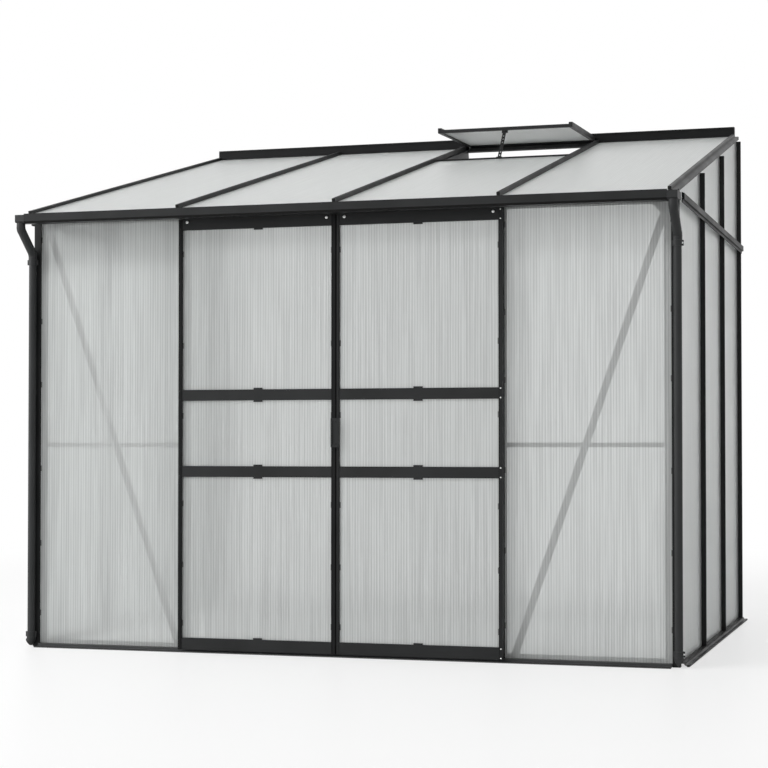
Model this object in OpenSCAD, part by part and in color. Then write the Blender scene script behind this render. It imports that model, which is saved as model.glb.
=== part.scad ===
// Lean-to greenhouse: an aluminium frame glazed with twin-wall sheet, with a pair of sliding
// doors, a roof vent held open on its stay, and a gutter with two downpipes. The origin is on
// the ground in the middle of the footprint, +Y points to the wall and +Z up.

/* [Overall] */
// Pitch of the glazing bars, and so the width of one bay
bay = 622; // [560:1:680]
// Number of bays in each gable
side_bays = 3; // [2:1:4]
// Height of the gutter's top edge
eave_h = 1668; // [1500:1:1900]
// Slope of the roof in degrees
roof_angle = 14.1; // [11:0.1:20]
// How far the roof bars reach out in front of the corner posts
roof_overhang = 76; // [70:1:82]
// How far the roof sheets reach past the roof bars, over the gutter
drip = 12; // [8:1:20]

/* [Frame] */
// Wall thickness of the aluminium profiles
wall = 2; // [1.4:0.1:2.4]
// Width of a corner post and of an end rafter
post_w = 27; // [24:1:32]
// How far posts stand in front of the glazing
post_proud = 8; // [6:1:9]
// Width of a glazing bar's core
core_w = 12; // [11:0.5:14]
// Height of a wall bar's rib above the glazing
rib_h = 18; // [14:1:22]
// Height of a roof bar's rib above the glazing
roof_rib_h = 15.5; // [13:0.5:20]
// Width of a glazing bar's flange behind the glazing
flange_w = 30; // [24:1:36]
// Depth of a wall bar's web behind its flange
web_d = 16; // [12:1:22]
// Depth of a roof bar's web below its flange
roof_web_d = 38; // [30:1:46]
// Depth of the end rafter's outer face below the roof surface
rafter_drop = 16; // [14:1:20]
// Width of the end rafter's rib
rafter_rib_w = 13; // [11:0.5:15]
// Height of the end rafter's rib above the roof surface
rafter_rib_h = 12.5; // [10:0.5:16]
// How far the door jambs stand inside the bay's line
jamb_in = 5; // [0:1:8]
// Distance from the last glazing bar's axis to the wall
wall_offset = 22; // [18:1:30]
// Height of the wall plate above the roof surface
plate_h = 44; // [38:1:56]
// Depth of the eave beam's lip behind the glazing
lip_h = 8; // [6:1:20]
// Width of an eave gusset
gusset_w = 75; // [50:1:90]
// Height of an eave gusset
gusset_h = 150; // [100:1:180]
// Depth of the wall plate from the wall
plate_d = 26; // [22:1:32]

/* [Glazing] */
// Thickness of the twin-wall sheet
sheet_t = 4; // [4:1:6]
// Gap between a sheet and the profile that holds it
seal = 0.3; // [0.2:0.1:0.5]
// Gap at the edge of a sheet
edge_gap = 1.5; // [1:0.5:2.5]

/* [Base rails] */
// Width of a side base rail outside the glazing
base_out = 37; // [34:1:44]
// Width of the front base rail outside the glazing
front_out = 54; // [46:1:60]
// Width of the bead along a base rail's outer edge
bead_w = 10; // [8:1:12]
// Height of the ledge that the sheets stand on
ledge_h = 13; // [12:1:20]
// Width of the ledge outside the glazing
ledge_out = 20; // [19:1:22]
// Height of the upstand behind the sheets
upstand_h = 22; // [20:1:40]
// Width of the foot inside the upstand
foot_w = 18; // [14:1:24]
// Diameter of the ground anchor holes in the foot
anchor_d = 9; // [6:0.5:10]

/* [Doors] */
// Height of the doors' bottom edge above the ground
door_gap = 10; // [9:1:16]
// Thickness of a door leaf
door_t = 18; // [16:1:22]
// Distance from the glazing to the back of the doors
door_stand_off = 30; // [28:1:40]
// How far a door reaches past the axis of its jamb
door_lap = 12.5; // [9:0.5:18]
// Gap between the two meeting stiles
meeting_gap = 5; // [5:1:8]
// Distance from the middle of the building to the line where the doors meet, leftwards
meeting_in = 3; // [0:1:6]
// Width of the left door's meeting stile
left_meeting_w = 15.5; // [14:0.5:20]
// Width of the right door's meeting stile
right_meeting_w = 10.5; // [10.5:0.5:16]
// How far the closed pair of doors stands left of the middle
pair_in = 1.5; // [0:0.5:3]
// Width of the outer stiles
stile_w = 15; // [13:0.5:22]
// Height of the bottom rails
bottom_rail_h = 45; // [40:1:60]
// Height of the middle rails
mid_rail_h = 41; // [34:1:48]
// Height of the lower middle rail's axis
low_rail_z = 681; // [600:1:720]
// Height of the upper middle rail's axis
high_rail_z = 968; // [920:1:1040]
// Height of the top rails
top_rail_h = 43; // [38:1:52]
// How far the sheets and rails reach into the grooves round them
bite = 6; // [5:1:7]
// Width of the clips that hold the sheets in the rails
rail_clip_w = 34; // [24:1:44]
// How far the clips stand out of the rails
rail_clip_h = 6; // [4:1:8]
// Width of the pull plate over the meeting stiles
pull_w = 32; // [28:1:40]
// Height of the pull plate
pull_h = 108; // [80:1:140]
// Height of the middle of the pull plate
pull_z = 826; // [760:1:880]

/* [Door track] */
// Outer width of the track, front to back
track_w = 32; // [30:1:38]
// Outer height of the track
track_h = 26; // [24:1:32]
// Width of the slot in the bottom of the track
slot_w = 18; // [16:1:20]
// Radius of the rollers
roller_r = 8; // [7:0.5:9]
// Width of one roller
roller_w = 7; // [5:0.5:8]
// Distance from the ends of a door to its hangers
hanger_in = 42; // [36:1:90]

/* [Gutter and downpipes] */
// Width of the gutter
gutter_w = 86; // [78:1:96]
// Height of the gutter's front
gutter_h = 36; // [32:1:42]
// Size of the chamfer along the foot of the gutter
gutter_chamfer = 7; // [5:1:9]
// Length of an outlet piece past the end of the gutter
outlet_l = 37; // [34:1:44]
// Outer radius of a spigot, elbow or shoe
elbow_r = 17; // [16:0.5:18]
// Outer radius of a downpipe
pipe_r = 14.5; // [13:0.5:15]
// Wall thickness of the rainwater parts
pipe_wall = 1.8; // [1.2:0.2:2.2]
// Height of a pipe clip
clip_h = 20; // [14:1:26]
// Width of a pipe clip over its two lugs
clip_w = 43; // [40:1:48]
// Distance from the gutter down to the middle of the upper pipe clips
clip_drop = 141; // [125:1:300]

/* [Vent] */
// Length of the vent opening up the roof, measured on the level
vent_l = 524; // [400:1:600]
// Angle between the open sash and the roof, in degrees
vent_open = 12; // [8:1:16]
// Thickness of the sash
sash_t = 14; // [12:1:18]
// Width of the sill that the sash shuts down on
sill_w = 20; // [14:1:26]
// Height of the sash's side rails above its front rail
side_rise = 8; // [4:1:10]
// Width of the sash's rails
sash_w = 16; // [14:1:22]
// Gap between the sash and the glazing bars beside it
sash_gap = 5; // [3:1:8]
// Width of the stay
stay_w = 15; // [12:1:18]
// Thickness of the stay
stay_t = 3; // [2:0.5:4]
// How far the stay's foot stands left of its head
stay_side = 24; // [0:1:30]
// Pitch of the holes in the stay
stay_pitch = 14; // [10:1:20]

/* [Hidden] */

frame_colour = "#343637";
sheet_colour = "#d3d7d6";
pipe_colour = "#3c3e3f";

// Planes and heights of the frame, with y = 0 on the inner face of the front glazing
half_bays = 2;
axis_x = half_bays * bay;
glass_in = -sheet_t;
wall_y = side_bays * bay + wall_offset;
post_front = -sheet_t - post_proud;
post_back = post_front + post_w;
post_out = axis_x + 1 + sheet_t + post_proud;
post_in = post_out - post_w;
gable_x = axis_x + 1;
jamb_x = bay - jamb_in;
door_back = -sheet_t - door_stand_off;
door_front = door_back - door_t;
door_axis = (door_back + door_front) / 2;
track_front = door_axis - track_w / 2;
gutter_front = track_front - gutter_w;
roof_edge_y = post_front - roof_overhang;
track_bottom = eave_h - gutter_h + 9;
door_top = track_bottom - 5;
beam_bottom = track_bottom + 3;
flange_back = seal + 2.2;
slope = tan(roof_angle);
roof_lift = 4.5;
// Distance that the level view adds to a size square to the roof
function up(b) = b / cos(roof_angle);
// Height of the roof sheets' upper face
function roof_z(y) = eave_h + roof_lift + slope * (y - roof_edge_y);
plate_front = wall_y - plate_d;
plate_top = roof_z(plate_front) + plate_h;
plate_foot = 1;
plate_lip = 6;
plate_leg = 22;
clip_z = eave_h - gutter_h - clip_drop;
pipe_x = post_out - 2;
pipe_y = post_front - elbow_r - seal;
spigot_y = gutter_front + elbow_r;
front_reach = gutter_front;
origin_y = (front_reach + wall_y) / 2;

// ---------- profiles ----------

// Core of a glazing bar between two distances from the glazing's inner face, outwards positive
module core(inner, outer) {
    translate([-core_w / 2, inner]) square([core_w, outer - inner]);
}

// Bolt channel cut into the end of a core, open upwards at height 0
module bolt_channel() {
    mouth_w = core_w - 6;
    translate([-mouth_w / 2, -2.5]) square([mouth_w, 3]);
    translate([-core_w / 2 + 1.5, -8]) square([core_w - 3, 5.6]);
}

// Rib outside the glazing
module rib_profile(height) {
    difference() {
        core(0, sheet_t + height);
        translate([0, sheet_t + height]) bolt_channel();
    }
}

// Flange that the sheets lie on
module flange_profile() {
    translate([-flange_w / 2, -flange_back]) square([flange_w, flange_back - seal]);
    core(-flange_back, 0);
}

// Web behind the flange
module web_profile(depth) {
    difference() {
        core(-flange_back - depth, -flange_back);
        translate([0, -flange_back - depth]) mirror([0, 1]) bolt_channel();
        if (depth > 30) {
            translate([-core_w / 2 + wall, -flange_back - depth + 12])
                square([core_w - 2 * wall, depth - 14]);
        }
    }
}

// Base rail, with x outwards from the glazing's inner face and y up: an upstand behind the
// sheets, the ledge they stand on, and a skirt that falls to a bead along the outer edge
module base_profile(reach, skirt_z, bead_h) {
    face = sheet_t + ledge_out;
    bead_x = sheet_t + reach - bead_w;
    groove_z = bead_h - 1.5;
    translate([-seal - wall, 0]) square([wall, upstand_h]);
    translate([-seal - wall, ledge_h - wall]) square([face + seal + wall, wall]);
    polygon([
        [face, ledge_h], [face, skirt_z], [bead_x - 1, groove_z], [bead_x, groove_z],
        [bead_x, bead_h], [bead_x + bead_w, bead_h], [bead_x + bead_w, 0], [bead_x, 0],
        [bead_x, groove_z - wall], [face - wall, skirt_z - wall], [face - wall, ledge_h]
    ]);
}

// ---------- placing ----------

// Extrudes a profile drawn as [Y, Z] along X
module along_x(x0, x1) {
    translate([x0, 0, 0]) rotate([90, 0, 90]) linear_extrude(x1 - x0) children();
}

// Extrudes a profile drawn as [X, Z] along Y
module along_y(y0, y1) {
    translate([0, y1, 0]) rotate([90, 0, 0]) linear_extrude(y1 - y0) children();
}

// Puts a roof piece, drawn with y up the slope from the roof edge and z square to it, in place
module on_roof() {
    translate([0, roof_edge_y, roof_z(roof_edge_y)]) rotate([roof_angle, 0, 0]) children();
}

// Length along the slope from the roof edge to a place given by its y
function along_slope(y) = (y - roof_edge_y) / cos(roof_angle);

// Length of the ribs and rafters, which stop at the wall plate's lips
plate_stop = along_slope(plate_front - wall) - 2 * seal;

// Both sides of the building
module both_sides() {
    children();
    mirror([1, 0, 0]) children();
}

// Moves the building so that the origin is in the middle of its footprint
module placed() {
    translate([0, -origin_y, 0]) children();
}

// Block under the roof plane, lowered by a distance square to the roof
module under_roof(x0, x1, y0, y1, drop) {
    along_x(x0, x1)
        polygon([
            [y0, -10], [y1, -10], [y1, roof_z(y1) - up(drop)], [y0, roof_z(y0) - up(drop)]
        ]);
}

// ---------- base ----------

front_lip = 4;

module front_base_rail() {
    color(frame_colour) placed() {
        along_x(-post_in + seal, post_in - seal) mirror([1, 0]) base_profile(front_out, front_lip, front_lip);
        along_x(-post_in + seal, post_in - seal)
            translate([seal, 0]) square([foot_w + wall, wall]);
    }
}

module side_base_rail() {
    difference() {
        union() {
            along_y(post_back + seal, wall_y) translate([gable_x, 0]) base_profile(base_out, 9, 6);
            along_y(post_back + foot_w, wall_y)
                translate([gable_x - seal - wall - foot_w, 0]) square([foot_w + wall, wall]);
        }
        for (y = anchor_y)
            translate([anchor_x, y, -1]) cylinder(d = anchor_d, h = wall + 2, $fn = 32);
    }
}

anchor_x = gable_x - seal - wall - foot_w / 2;
anchor_y = [bay / 2, wall_y - bay / 2];

module left_base_rail() {
    color(frame_colour) placed() mirror([1, 0, 0]) side_base_rail();
}

module right_base_rail() {
    color(frame_colour) placed() side_base_rail();
}

rear_rail_x = gable_x - seal - wall - foot_w - seal;

module rear_base_rail() {
    color(frame_colour) placed()
        along_x(-rear_rail_x, rear_rail_x) {
            translate([wall_y - wall, 0]) square([wall, upstand_h]);
            translate([wall_y - foot_w - wall, 0]) square([foot_w + wall, wall]);
        }
}

// ---------- walls ----------

// Right corner post's tube as seen from above
module post_tube() {
    difference() {
        translate([post_in, post_front]) square(post_w);
        translate([post_in + wall, post_front + wall]) square(post_w - 2 * wall);
    }
}

module corner_post() {
    flange_z = upstand_h + seal;
    intersection() {
        union() {
            linear_extrude(plate_top) post_tube();
            translate([post_in - flange_w / 2, seal, flange_z])
                cube([flange_w / 2 + wall, wall, beam_bottom - lip_h - seal - flange_z]);
            translate([gable_x - seal - wall, post_back - wall, flange_z])
                cube([wall, flange_w / 2 + wall, plate_top]);
        }
        under_roof(post_in - flange_w, post_out + 1, post_front - 1, post_back + flange_w,
            rafter_drop + seal);
    }
}

module left_corner_post() {
    color(frame_colour) placed() mirror([1, 0, 0]) corner_post();
}

module right_corner_post() {
    color(frame_colour) placed() corner_post();
}

// Upright glazing bar with x across it and y outwards, standing on the base rail
module upright_bar(rib_top, web_top) {
    translate([0, 0, ledge_h + seal]) linear_extrude(rib_top - ledge_h - seal) rib_profile(rib_h);
    translate([0, 0, upstand_h + seal]) linear_extrude(web_top - upstand_h - seal) flange_profile();
    translate([0, 0, wall + seal])
        linear_extrude(web_top - wall - seal) web_profile(web_d);
}

module door_jambs() {
    color(frame_colour) placed()
        for (side = [-1, 1])
            translate([side * jamb_x, 0, 0]) mirror([0, 1, 0])
                upright_bar(beam_bottom - seal, beam_bottom - lip_h - seal);
}

// y of gable bar number k, counted from the front
function bar_y(k) = k * bay;

rib_stop = 6;

module gable_bars() {
    for (k = [1 : side_bays - 1])
        translate([gable_x, bar_y(k), 0]) rotate([0, 0, -90])
            upright_bar(
                roof_z(bar_y(k) - core_w / 2) - up(rafter_drop) - rib_stop,
                roof_z(bar_y(k) - flange_w / 2) - up(rafter_drop) - seal
            );
}

module left_gable_bars() {
    color(frame_colour) placed() mirror([1, 0, 0]) gable_bars();
}

module right_gable_bars() {
    color(frame_colour) placed() gable_bars();
}

fixing_x = gable_x - 32;
fixing_z = [400, 1500];
fixing_d = 7;

module wall_post() {
    y = bar_y(side_bays);
    top = roof_z(y - flange_w / 2) - up(rafter_drop) - seal;
    leg_x = gable_x - flange_back - web_d;
    leg_h = roof_z(wall_y) - plate_leg - 2 * seal - upstand_h;
    translate([gable_x, y, 0]) rotate([0, 0, -90])
        upright_bar(roof_z(y - core_w / 2) - up(rafter_drop) - rib_stop, top);
    difference() {
        union() {
            translate([leg_x, y, upstand_h + seal]) cube([wall, wall_offset, leg_h]);
            translate([fixing_x - 12, wall_y - wall, upstand_h + seal])
                cube([leg_x - fixing_x + 12 + wall, wall, leg_h]);
        }
        for (z = fixing_z)
            translate([fixing_x, wall_y + 1, z])
                rotate([90, 0, 0]) cylinder(d = fixing_d, h = wall + 2, $fn = 32);
    }
}

module left_wall_post() {
    color(frame_colour) placed() mirror([1, 0, 0]) wall_post();
}

module right_wall_post() {
    color(frame_colour) placed() wall_post();
}

// Hollow drip bar that runs along a gable at eave height, outside the glazing bars, with a
// lip set back below its face
module gable_eave_bars() {
    x = gable_x + sheet_t + rib_h + seal;
    top = eave_h + 5;
    out = 10;
    face_z = top - 25;
    color(frame_colour) placed() both_sides()
        along_y(post_front, bar_y(side_bays) + core_w / 2)
            difference() {
                polygon([
                    [x, top], [x + out, top - 4], [x + out, face_z], [x + 3, face_z - 2],
                    [x + 3, face_z - 11], [x, face_z - 11]
                ]);
                translate([x + wall, face_z + wall]) square([out - 2 * wall, 16]);
            }
}

module front_mid_rails() {
    z = 781;
    h = 17;
    x0 = jamb_x + core_w / 2 + seal;
    color(frame_colour) placed() both_sides()
        translate([x0, flange_back + seal, z - h / 2])
            difference() {
                cube([post_in - seal - x0, 10, h]);
                translate([-1, wall, wall]) cube([post_in - x0 + 2, 10, h - 2 * wall]);
            }
}

brace_y = flange_back + 10 + 2 * seal;
brace_foot = [jamb_x + 35, wall + seal + 5];
brace_head = [axis_x - 44, beam_bottom - 42];

module front_braces() {
    brace_w = 26;
    run = brace_head - brace_foot;
    lean = atan2(run[0], run[1]);
    color(frame_colour) placed() both_sides()
        translate([brace_foot[0], brace_y, brace_foot[1]]) rotate([0, lean, 0]) {
            translate([-brace_w / 2, 0, 0]) cube([brace_w, wall, norm(run)]);
            translate([-wall / 2, 0, 0]) cube([wall, 8, norm(run)]);
        }
}

module eave_gussets() {
    color(frame_colour) placed() both_sides()
        translate([0, flange_back + seal + wall, 0]) rotate([90, 0, 0]) linear_extrude(wall)
            polygon([
                [post_in - seal, beam_bottom - seal],
                [post_in - gusset_w, beam_bottom - seal],
                [post_in - gusset_w * 0.45, beam_bottom - gusset_h * 0.3],
                [post_in - gusset_w * 0.32, beam_bottom - gusset_h * 0.64],
                [post_in - seal, beam_bottom - gusset_h]
            ]);
}

// ---------- eave ----------

module eave_beam() {
    y0 = post_front;
    y1 = post_back;
    d = flange_back + 1;
    color(frame_colour) placed()
        along_x(-post_in + seal, post_in - seal) {
            difference() {
                polygon([
                    [y0, beam_bottom], [y1, beam_bottom],
                    [y1, roof_z(y1) - up(sheet_t + d)], [y0, roof_z(y0) - up(sheet_t + d)]
                ]);
                polygon([
                    [y0 + wall, beam_bottom + wall], [y1 - wall, beam_bottom + wall],
                    [y1 - wall, roof_z(y1 - wall) - up(sheet_t + d) - wall],
                    [y0 + wall, roof_z(y0 + wall) - up(sheet_t + d) - wall]
                ]);
            }
            translate([seal, beam_bottom - lip_h]) square([wall, lip_h + 1]);
        }
}

module door_track() {
    top = track_bottom + track_h;
    lip = (track_w - slot_w) / 2;
    color(frame_colour) placed()
        along_x(-post_in + seal, post_in - seal) {
            difference() {
                translate([track_front, track_bottom]) square([track_w, track_h]);
                translate([track_front + wall, track_bottom + wall])
                    square([track_w - 2 * wall, track_h - 2 * wall]);
                translate([track_front + lip, track_bottom - 1]) square([slot_w, wall + 2]);
            }
            translate([track_front + track_w - 1, top - wall])
                square([post_front - track_front - track_w + 1, wall]);
        }
}

// ---------- roof ----------

// Roof bar, cut to pass over the eave beam
module roof_bar() {
    rib_end = plate_stop;
    flange_end = along_slope(wall_y - wall) - 2;
    web_start = along_slope(post_back) + roof_web_d * tan(roof_angle) + 2;
    on_roof() {
        along_y(0, rib_end) translate([0, -sheet_t]) rib_profile(roof_rib_h);
        along_y(0, wall) translate([0, -sheet_t]) core(0, sheet_t + roof_rib_h);
        along_y(0, flange_end) translate([0, -sheet_t]) flange_profile();
        along_y(web_start, flange_end - roof_web_d * tan(roof_angle))
            translate([0, -sheet_t]) web_profile(roof_web_d);
    }
}

module roof_bars() {
    color(frame_colour) placed()
        for (i = [1 - half_bays : half_bays - 1]) translate([i * bay, 0, 0]) roof_bar();
}

// Outline of an end rafter, x across the building and y square to the roof: a rib on its inner
// side, a cap that falls outwards, and grooves for the roof sheet and the gable sheet
module rafter_outline() {
    difference() {
        polygon([
            [post_in, -rafter_drop], [post_in, rafter_rib_h],
            [post_in + rafter_rib_w, rafter_rib_h], [post_in + rafter_rib_w, 1],
            [post_out, -3], [post_out, -rafter_drop]
        ]);
        translate([gable_x - seal, -rafter_drop - 1]) square([sheet_t + 2 * seal, bite + 3]);
        translate([post_in - 1, -sheet_t - seal]) square([bite + 1, sheet_t + 2 * seal]);
    }
}

// Outline with its two hollows
module rafter_profile() {
    difference() {
        rafter_outline();
        translate([post_in + wall, wall])
            square([rafter_rib_w - 2 * wall, rafter_rib_h - 2 * wall]);
        translate([post_in + wall, -rafter_drop + wall])
            square([gable_x - seal - post_in - 2 * wall, rafter_drop - sheet_t - 2 * wall]);
    }
}

module end_rafter() {
    on_roof()
        difference() {
            union() {
                along_y(0, plate_stop) rafter_profile();
                along_y(0, wall) rafter_outline();
            }
            translate([post_in - 1, -1, -rafter_drop - 1])
                cube([post_w + 2, along_slope(post_front) + 1, rafter_drop - 5]);
        }
    on_roof()
        along_y(plate_stop - 1, along_slope(wall_y - wall) - 6)
            intersection() {
                rafter_profile();
                translate([post_in, -rafter_drop]) square([post_w, rafter_drop - 2]);
            }
}

module left_end_rafter() {
    color(frame_colour) placed() mirror([1, 0, 0]) end_rafter();
}

module right_end_rafter() {
    color(frame_colour) placed() end_rafter();
}

module wall_plate() {
    y0 = plate_front;
    low = roof_z(y0) + plate_foot;
    color(frame_colour) placed()
        along_x(-post_in - 8, post_in + 8) {
            translate([y0, low]) square([wall, plate_top - low]);
            translate([y0 - wall, plate_top - 8]) square([wall, 8]);
            translate([y0 - wall, low]) square([wall, plate_lip]);
            translate([y0, plate_top - wall]) square([plate_d, wall]);
            translate([wall_y - wall, roof_z(wall_y) - plate_leg])
                square([wall, plate_top - roof_z(wall_y) + plate_leg]);
        }
}

// ---------- glazing ----------

module front_sheets() {
    x0 = jamb_x + core_w / 2 + edge_gap;
    color(sheet_colour) placed() both_sides()
        translate([x0, glass_in, ledge_h + seal])
            cube([post_in - seal - x0, sheet_t, beam_bottom - ledge_h - 2 * seal]);
}

module gable_sheets() {
    for (k = [0 : side_bays - 1]) {
        y0 = k == 0 ? post_back + seal : bar_y(k) + core_w / 2 + edge_gap;
        y1 = bar_y(k + 1) - core_w / 2 - edge_gap;
        lift = up(rafter_drop - bite);
        translate([gable_x, 0, 0])
            along_x(0, sheet_t)
                polygon([
                    [y0, ledge_h + seal], [y1, ledge_h + seal],
                    [y1, roof_z(y1) - lift], [y0, roof_z(y0) - lift]
                ]);
    }
}

module left_gable_sheets() {
    color(sheet_colour) placed() mirror([1, 0, 0]) gable_sheets();
}

module right_gable_sheets() {
    color(sheet_colour) placed() gable_sheets();
}

vent_bay = 0;
head_w = 12;
vent_sill_y = plate_front - head_w - vent_l;

// One roof sheet between two x, ending at a given y
module roof_sheet(x0, x1, y_end) {
    on_roof() translate([x0, -drip, -sheet_t]) cube([x1 - x0, along_slope(y_end) + drip, sheet_t]);
}

module roof_sheets() {
    edge = core_w / 2 + edge_gap;
    color(sheet_colour) placed()
        for (i = [-half_bays : half_bays - 1]) {
            x0 = i == -half_bays ? -post_in - bite + 1 : i * bay + edge;
            x1 = i == half_bays - 1 ? post_in + bite - 1 : (i + 1) * bay - edge;
            roof_sheet(x0, x1, i == vent_bay ? vent_sill_y - 1 : plate_front + 10);
        }
}

// ---------- vent ----------

vent_x0 = vent_bay * bay + core_w / 2 + edge_gap;
vent_x1 = (vent_bay + 1) * bay - core_w / 2 - edge_gap;

// Sill and head that close the roof opening below and above
module vent_curb() {
    sill_d = 24;
    head_d = 16;
    drip_h = 7;
    curb_in = flange_w / 2 + seal - core_w / 2 - edge_gap;
    curb_l = vent_x1 - vent_x0 - 2 * curb_in;
    color(frame_colour) placed() {
        on_roof() translate([vent_x0, along_slope(vent_sill_y), 0]) {
            translate([0, -14, seal]) cube([vent_x1 - vent_x0, 14 + sill_w, wall]);
            translate([0, -14, seal]) cube([vent_x1 - vent_x0, wall, drip_h]);
            translate([curb_in, 0, -sill_d]) cube([curb_l, wall, sill_d + wall]);
            translate([curb_in, 0, -sill_d]) cube([curb_l, sill_w, wall]);
        }
        translate([vent_x0 + curb_in, plate_front - head_w, roof_z(plate_front) - head_d])
            cube([curb_l, head_w - seal, head_d]);
    }
}

sash_x0 = core_w / 2 + sash_gap + vent_bay * bay;
sash_x1 = (vent_bay + 1) * bay - core_w / 2 - sash_gap;
hinge_y = plate_front - 4;
hinge_z = roof_z(hinge_y) + 12;
sash_l = (hinge_y - vent_sill_y - sill_w / 2) / cos(roof_angle);
sash_drop = sash_t / 2 - 3.3;
hook_z = roof_z(plate_front) + plate_foot + plate_lip + seal - hinge_z + sash_drop;

// Puts a sash piece in place: x across, y from the hinge down to the front, z square to the sash
module on_sash() {
    translate([0, hinge_y, hinge_z]) rotate([roof_angle - vent_open, 0, 0]) mirror([0, 1, 0])
        translate([0, 0, -sash_drop]) children();
}

module vent_sash() {
    w = sash_x1 - sash_x0;
    color(frame_colour) placed() on_sash() {
        translate([sash_x0, hinge_y - plate_front + seal, hook_z]) cube([w, plate_front - hinge_y, 3]);
        difference() {
            union() {
                translate([sash_x0, 0, 0]) cube([w, sash_l, sash_t]);
                for (x = [sash_x0, sash_x1 - sash_w])
                    translate([x, 0, 0]) cube([sash_w, sash_l, sash_t + side_rise]);
            }
            for (x = [sash_x0 + wall, sash_x1 - sash_w + wall])
                translate([x, -1, sash_t])
                    cube([sash_w - 2 * wall, sash_l + 1 - wall, side_rise - wall]);
            translate([sash_x0 + sash_w, sash_w, -1])
                cube([w - 2 * sash_w, sash_l - 2 * sash_w, sash_t + 2]);
            translate([sash_x0 + sash_w - bite, sash_w - bite, sash_t / 2 - sheet_t / 2 - seal])
                cube([
                    w - 2 * (sash_w - bite), sash_l - 2 * (sash_w - bite), sheet_t + 2 * seal
                ]);
        }
    }
}

module vent_sheet() {
    inset = sash_w - bite + 1;
    color(sheet_colour) placed() on_sash()
        translate([sash_x0 + inset, inset, sash_t / 2 - sheet_t / 2])
            cube([sash_x1 - sash_x0 - 2 * inset, sash_l - 2 * inset, sheet_t]);
}

// Ends of the stay's centre line, as [y, z]
stay_x = (sash_x0 + sash_x1) / 2;
sash_lean = roof_angle - vent_open;
stay_reach = sash_l - sash_w / 2;
stay_top = [
    hinge_y - stay_reach * cos(sash_lean) + sash_drop * sin(sash_lean),
    hinge_z - stay_reach * sin(sash_lean) - sash_drop * cos(sash_lean)
];

// Leaning strip with a row of holes, a bracket under the sash and a foot on the sill
module vent_stay() {
    foot = [vent_sill_y - 8, roof_z(vent_sill_y - 8) + up(seal + wall)];
    run = stay_top - foot;
    low = 2 * seal;
    high = norm(run) - 2 * seal;
    bracket_w = stay_w + 12;
    holes = floor((high - low - 30) / stay_pitch);
    color(frame_colour) placed()
        translate([stay_x, foot[0], foot[1]]) rotate([-atan2(run[0], run[1]), 0, 0])
            rotate([90, 0, 0]) linear_extrude(stay_t, center = true)
                difference() {
                    union() {
                        polygon([
                            [-stay_side - stay_w / 2, low], [-stay_side + stay_w / 2, low],
                            [stay_w / 2, high], [-stay_w / 2, high]
                        ]);
                        translate([-bracket_w / 2, high - 11]) square([bracket_w, 11]);
                        translate([-stay_side - bracket_w / 2, low]) square([bracket_w, 6]);
                    }
                    for (k = [0 : holes]) {
                        z = low + 13 + k * stay_pitch;
                        translate([-stay_side * (1 - z / high), z]) circle(d = 5, $fn = 24);
                    }
                }
}

// ---------- rainwater ----------

// Gutter from the side, y from front to back, with a chamfer along its foot and a floor that
// rises to the back, so that the water keeps to the front
module gutter_outline(front, back, low, high, cut) {
    polygon([
        [front, high], [front, low + cut], [front + cut, low],
        [back - 11, low + 2], [back, low + 6], [back, high]
    ]);
}

// Chamfer of a gutter's inner face, parallel to an outer chamfer
function inner_chamfer(cut, thickness) = cut - (2 - sqrt(2)) * thickness;

module gutter() {
    back = track_front;
    z0 = eave_h - gutter_h;
    inner_cut = inner_chamfer(gutter_chamfer, wall);
    color(frame_colour) placed()
        along_x(-post_in - 5, post_in + 5)
            difference() {
                gutter_outline(gutter_front, back, z0, eave_h, gutter_chamfer);
                gutter_outline(gutter_front + wall, back - wall, z0 + wall, eave_h - wall, inner_cut);
                translate([gutter_front + wall + 4, z0 + 10]) square([gutter_w, gutter_h]);
                translate([back - wall - 1, eave_h - 8]) square([wall + 2, 9]);
            }
}

module gutter_outlets() {
    x0 = post_in + 5 + seal;
    z0 = eave_h - gutter_h + 2;
    z1 = z0 + gutter_h - 6;
    back = gutter_front + gutter_w;
    cut = gutter_chamfer - 2;
    color(pipe_colour) placed() both_sides()
        difference() {
            union() {
                along_x(x0, x0 + outlet_l)
                    gutter_outline(gutter_front, back, z0, z1, cut);
                translate([pipe_x, spigot_y, z0 - 12]) cylinder(r = pipe_r, h = 13.5, $fn = 48);
            }
            along_x(x0 - 1, x0 + outlet_l - pipe_wall)
                gutter_outline(
                    gutter_front + pipe_wall, back - pipe_wall, z0 + pipe_wall, z1 + 1,
                    inner_chamfer(cut, pipe_wall)
                );
            translate([pipe_x, spigot_y, z0 - 13])
                cylinder(r = pipe_r - pipe_wall, h = 17, $fn = 48);
        }
}

// Centre lines of the rainwater pipes: heights of the elbow's two knees, and its lean
socket_r = pipe_r + seal;
elbow_top = eave_h - gutter_h + 2 - seal;
elbow_knee = elbow_top - 24;
elbow_low = clip_z + 32;
elbow_lean = atan2(pipe_y - spigot_y, elbow_knee - elbow_low);
elbow_run = norm([pipe_y - spigot_y, elbow_knee - elbow_low]);
bend_r = elbow_r + 4;
bend_cut = bend_r * tan(elbow_lean / 2);
tuck = 3;
elbow_bottom = clip_z + clip_h / 2 + seal;

// Straight length of an elbow or shoe, running up from z = 0
module socket(length) {
    linear_extrude(length)
        difference() {
            circle(r = elbow_r - 0.4, $fn = 48);
            circle(r = socket_r, $fn = 48);
        }
}

// Curved length of an elbow, a little thicker than the lengths that end inside it
module bend(angle) {
    rotate_extrude(angle = angle, $fn = 96)
        translate([bend_r, 0])
            difference() {
                circle(r = elbow_r, $fn = 48);
                circle(r = pipe_r - 0.2, $fn = 48);
            }
}

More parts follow.
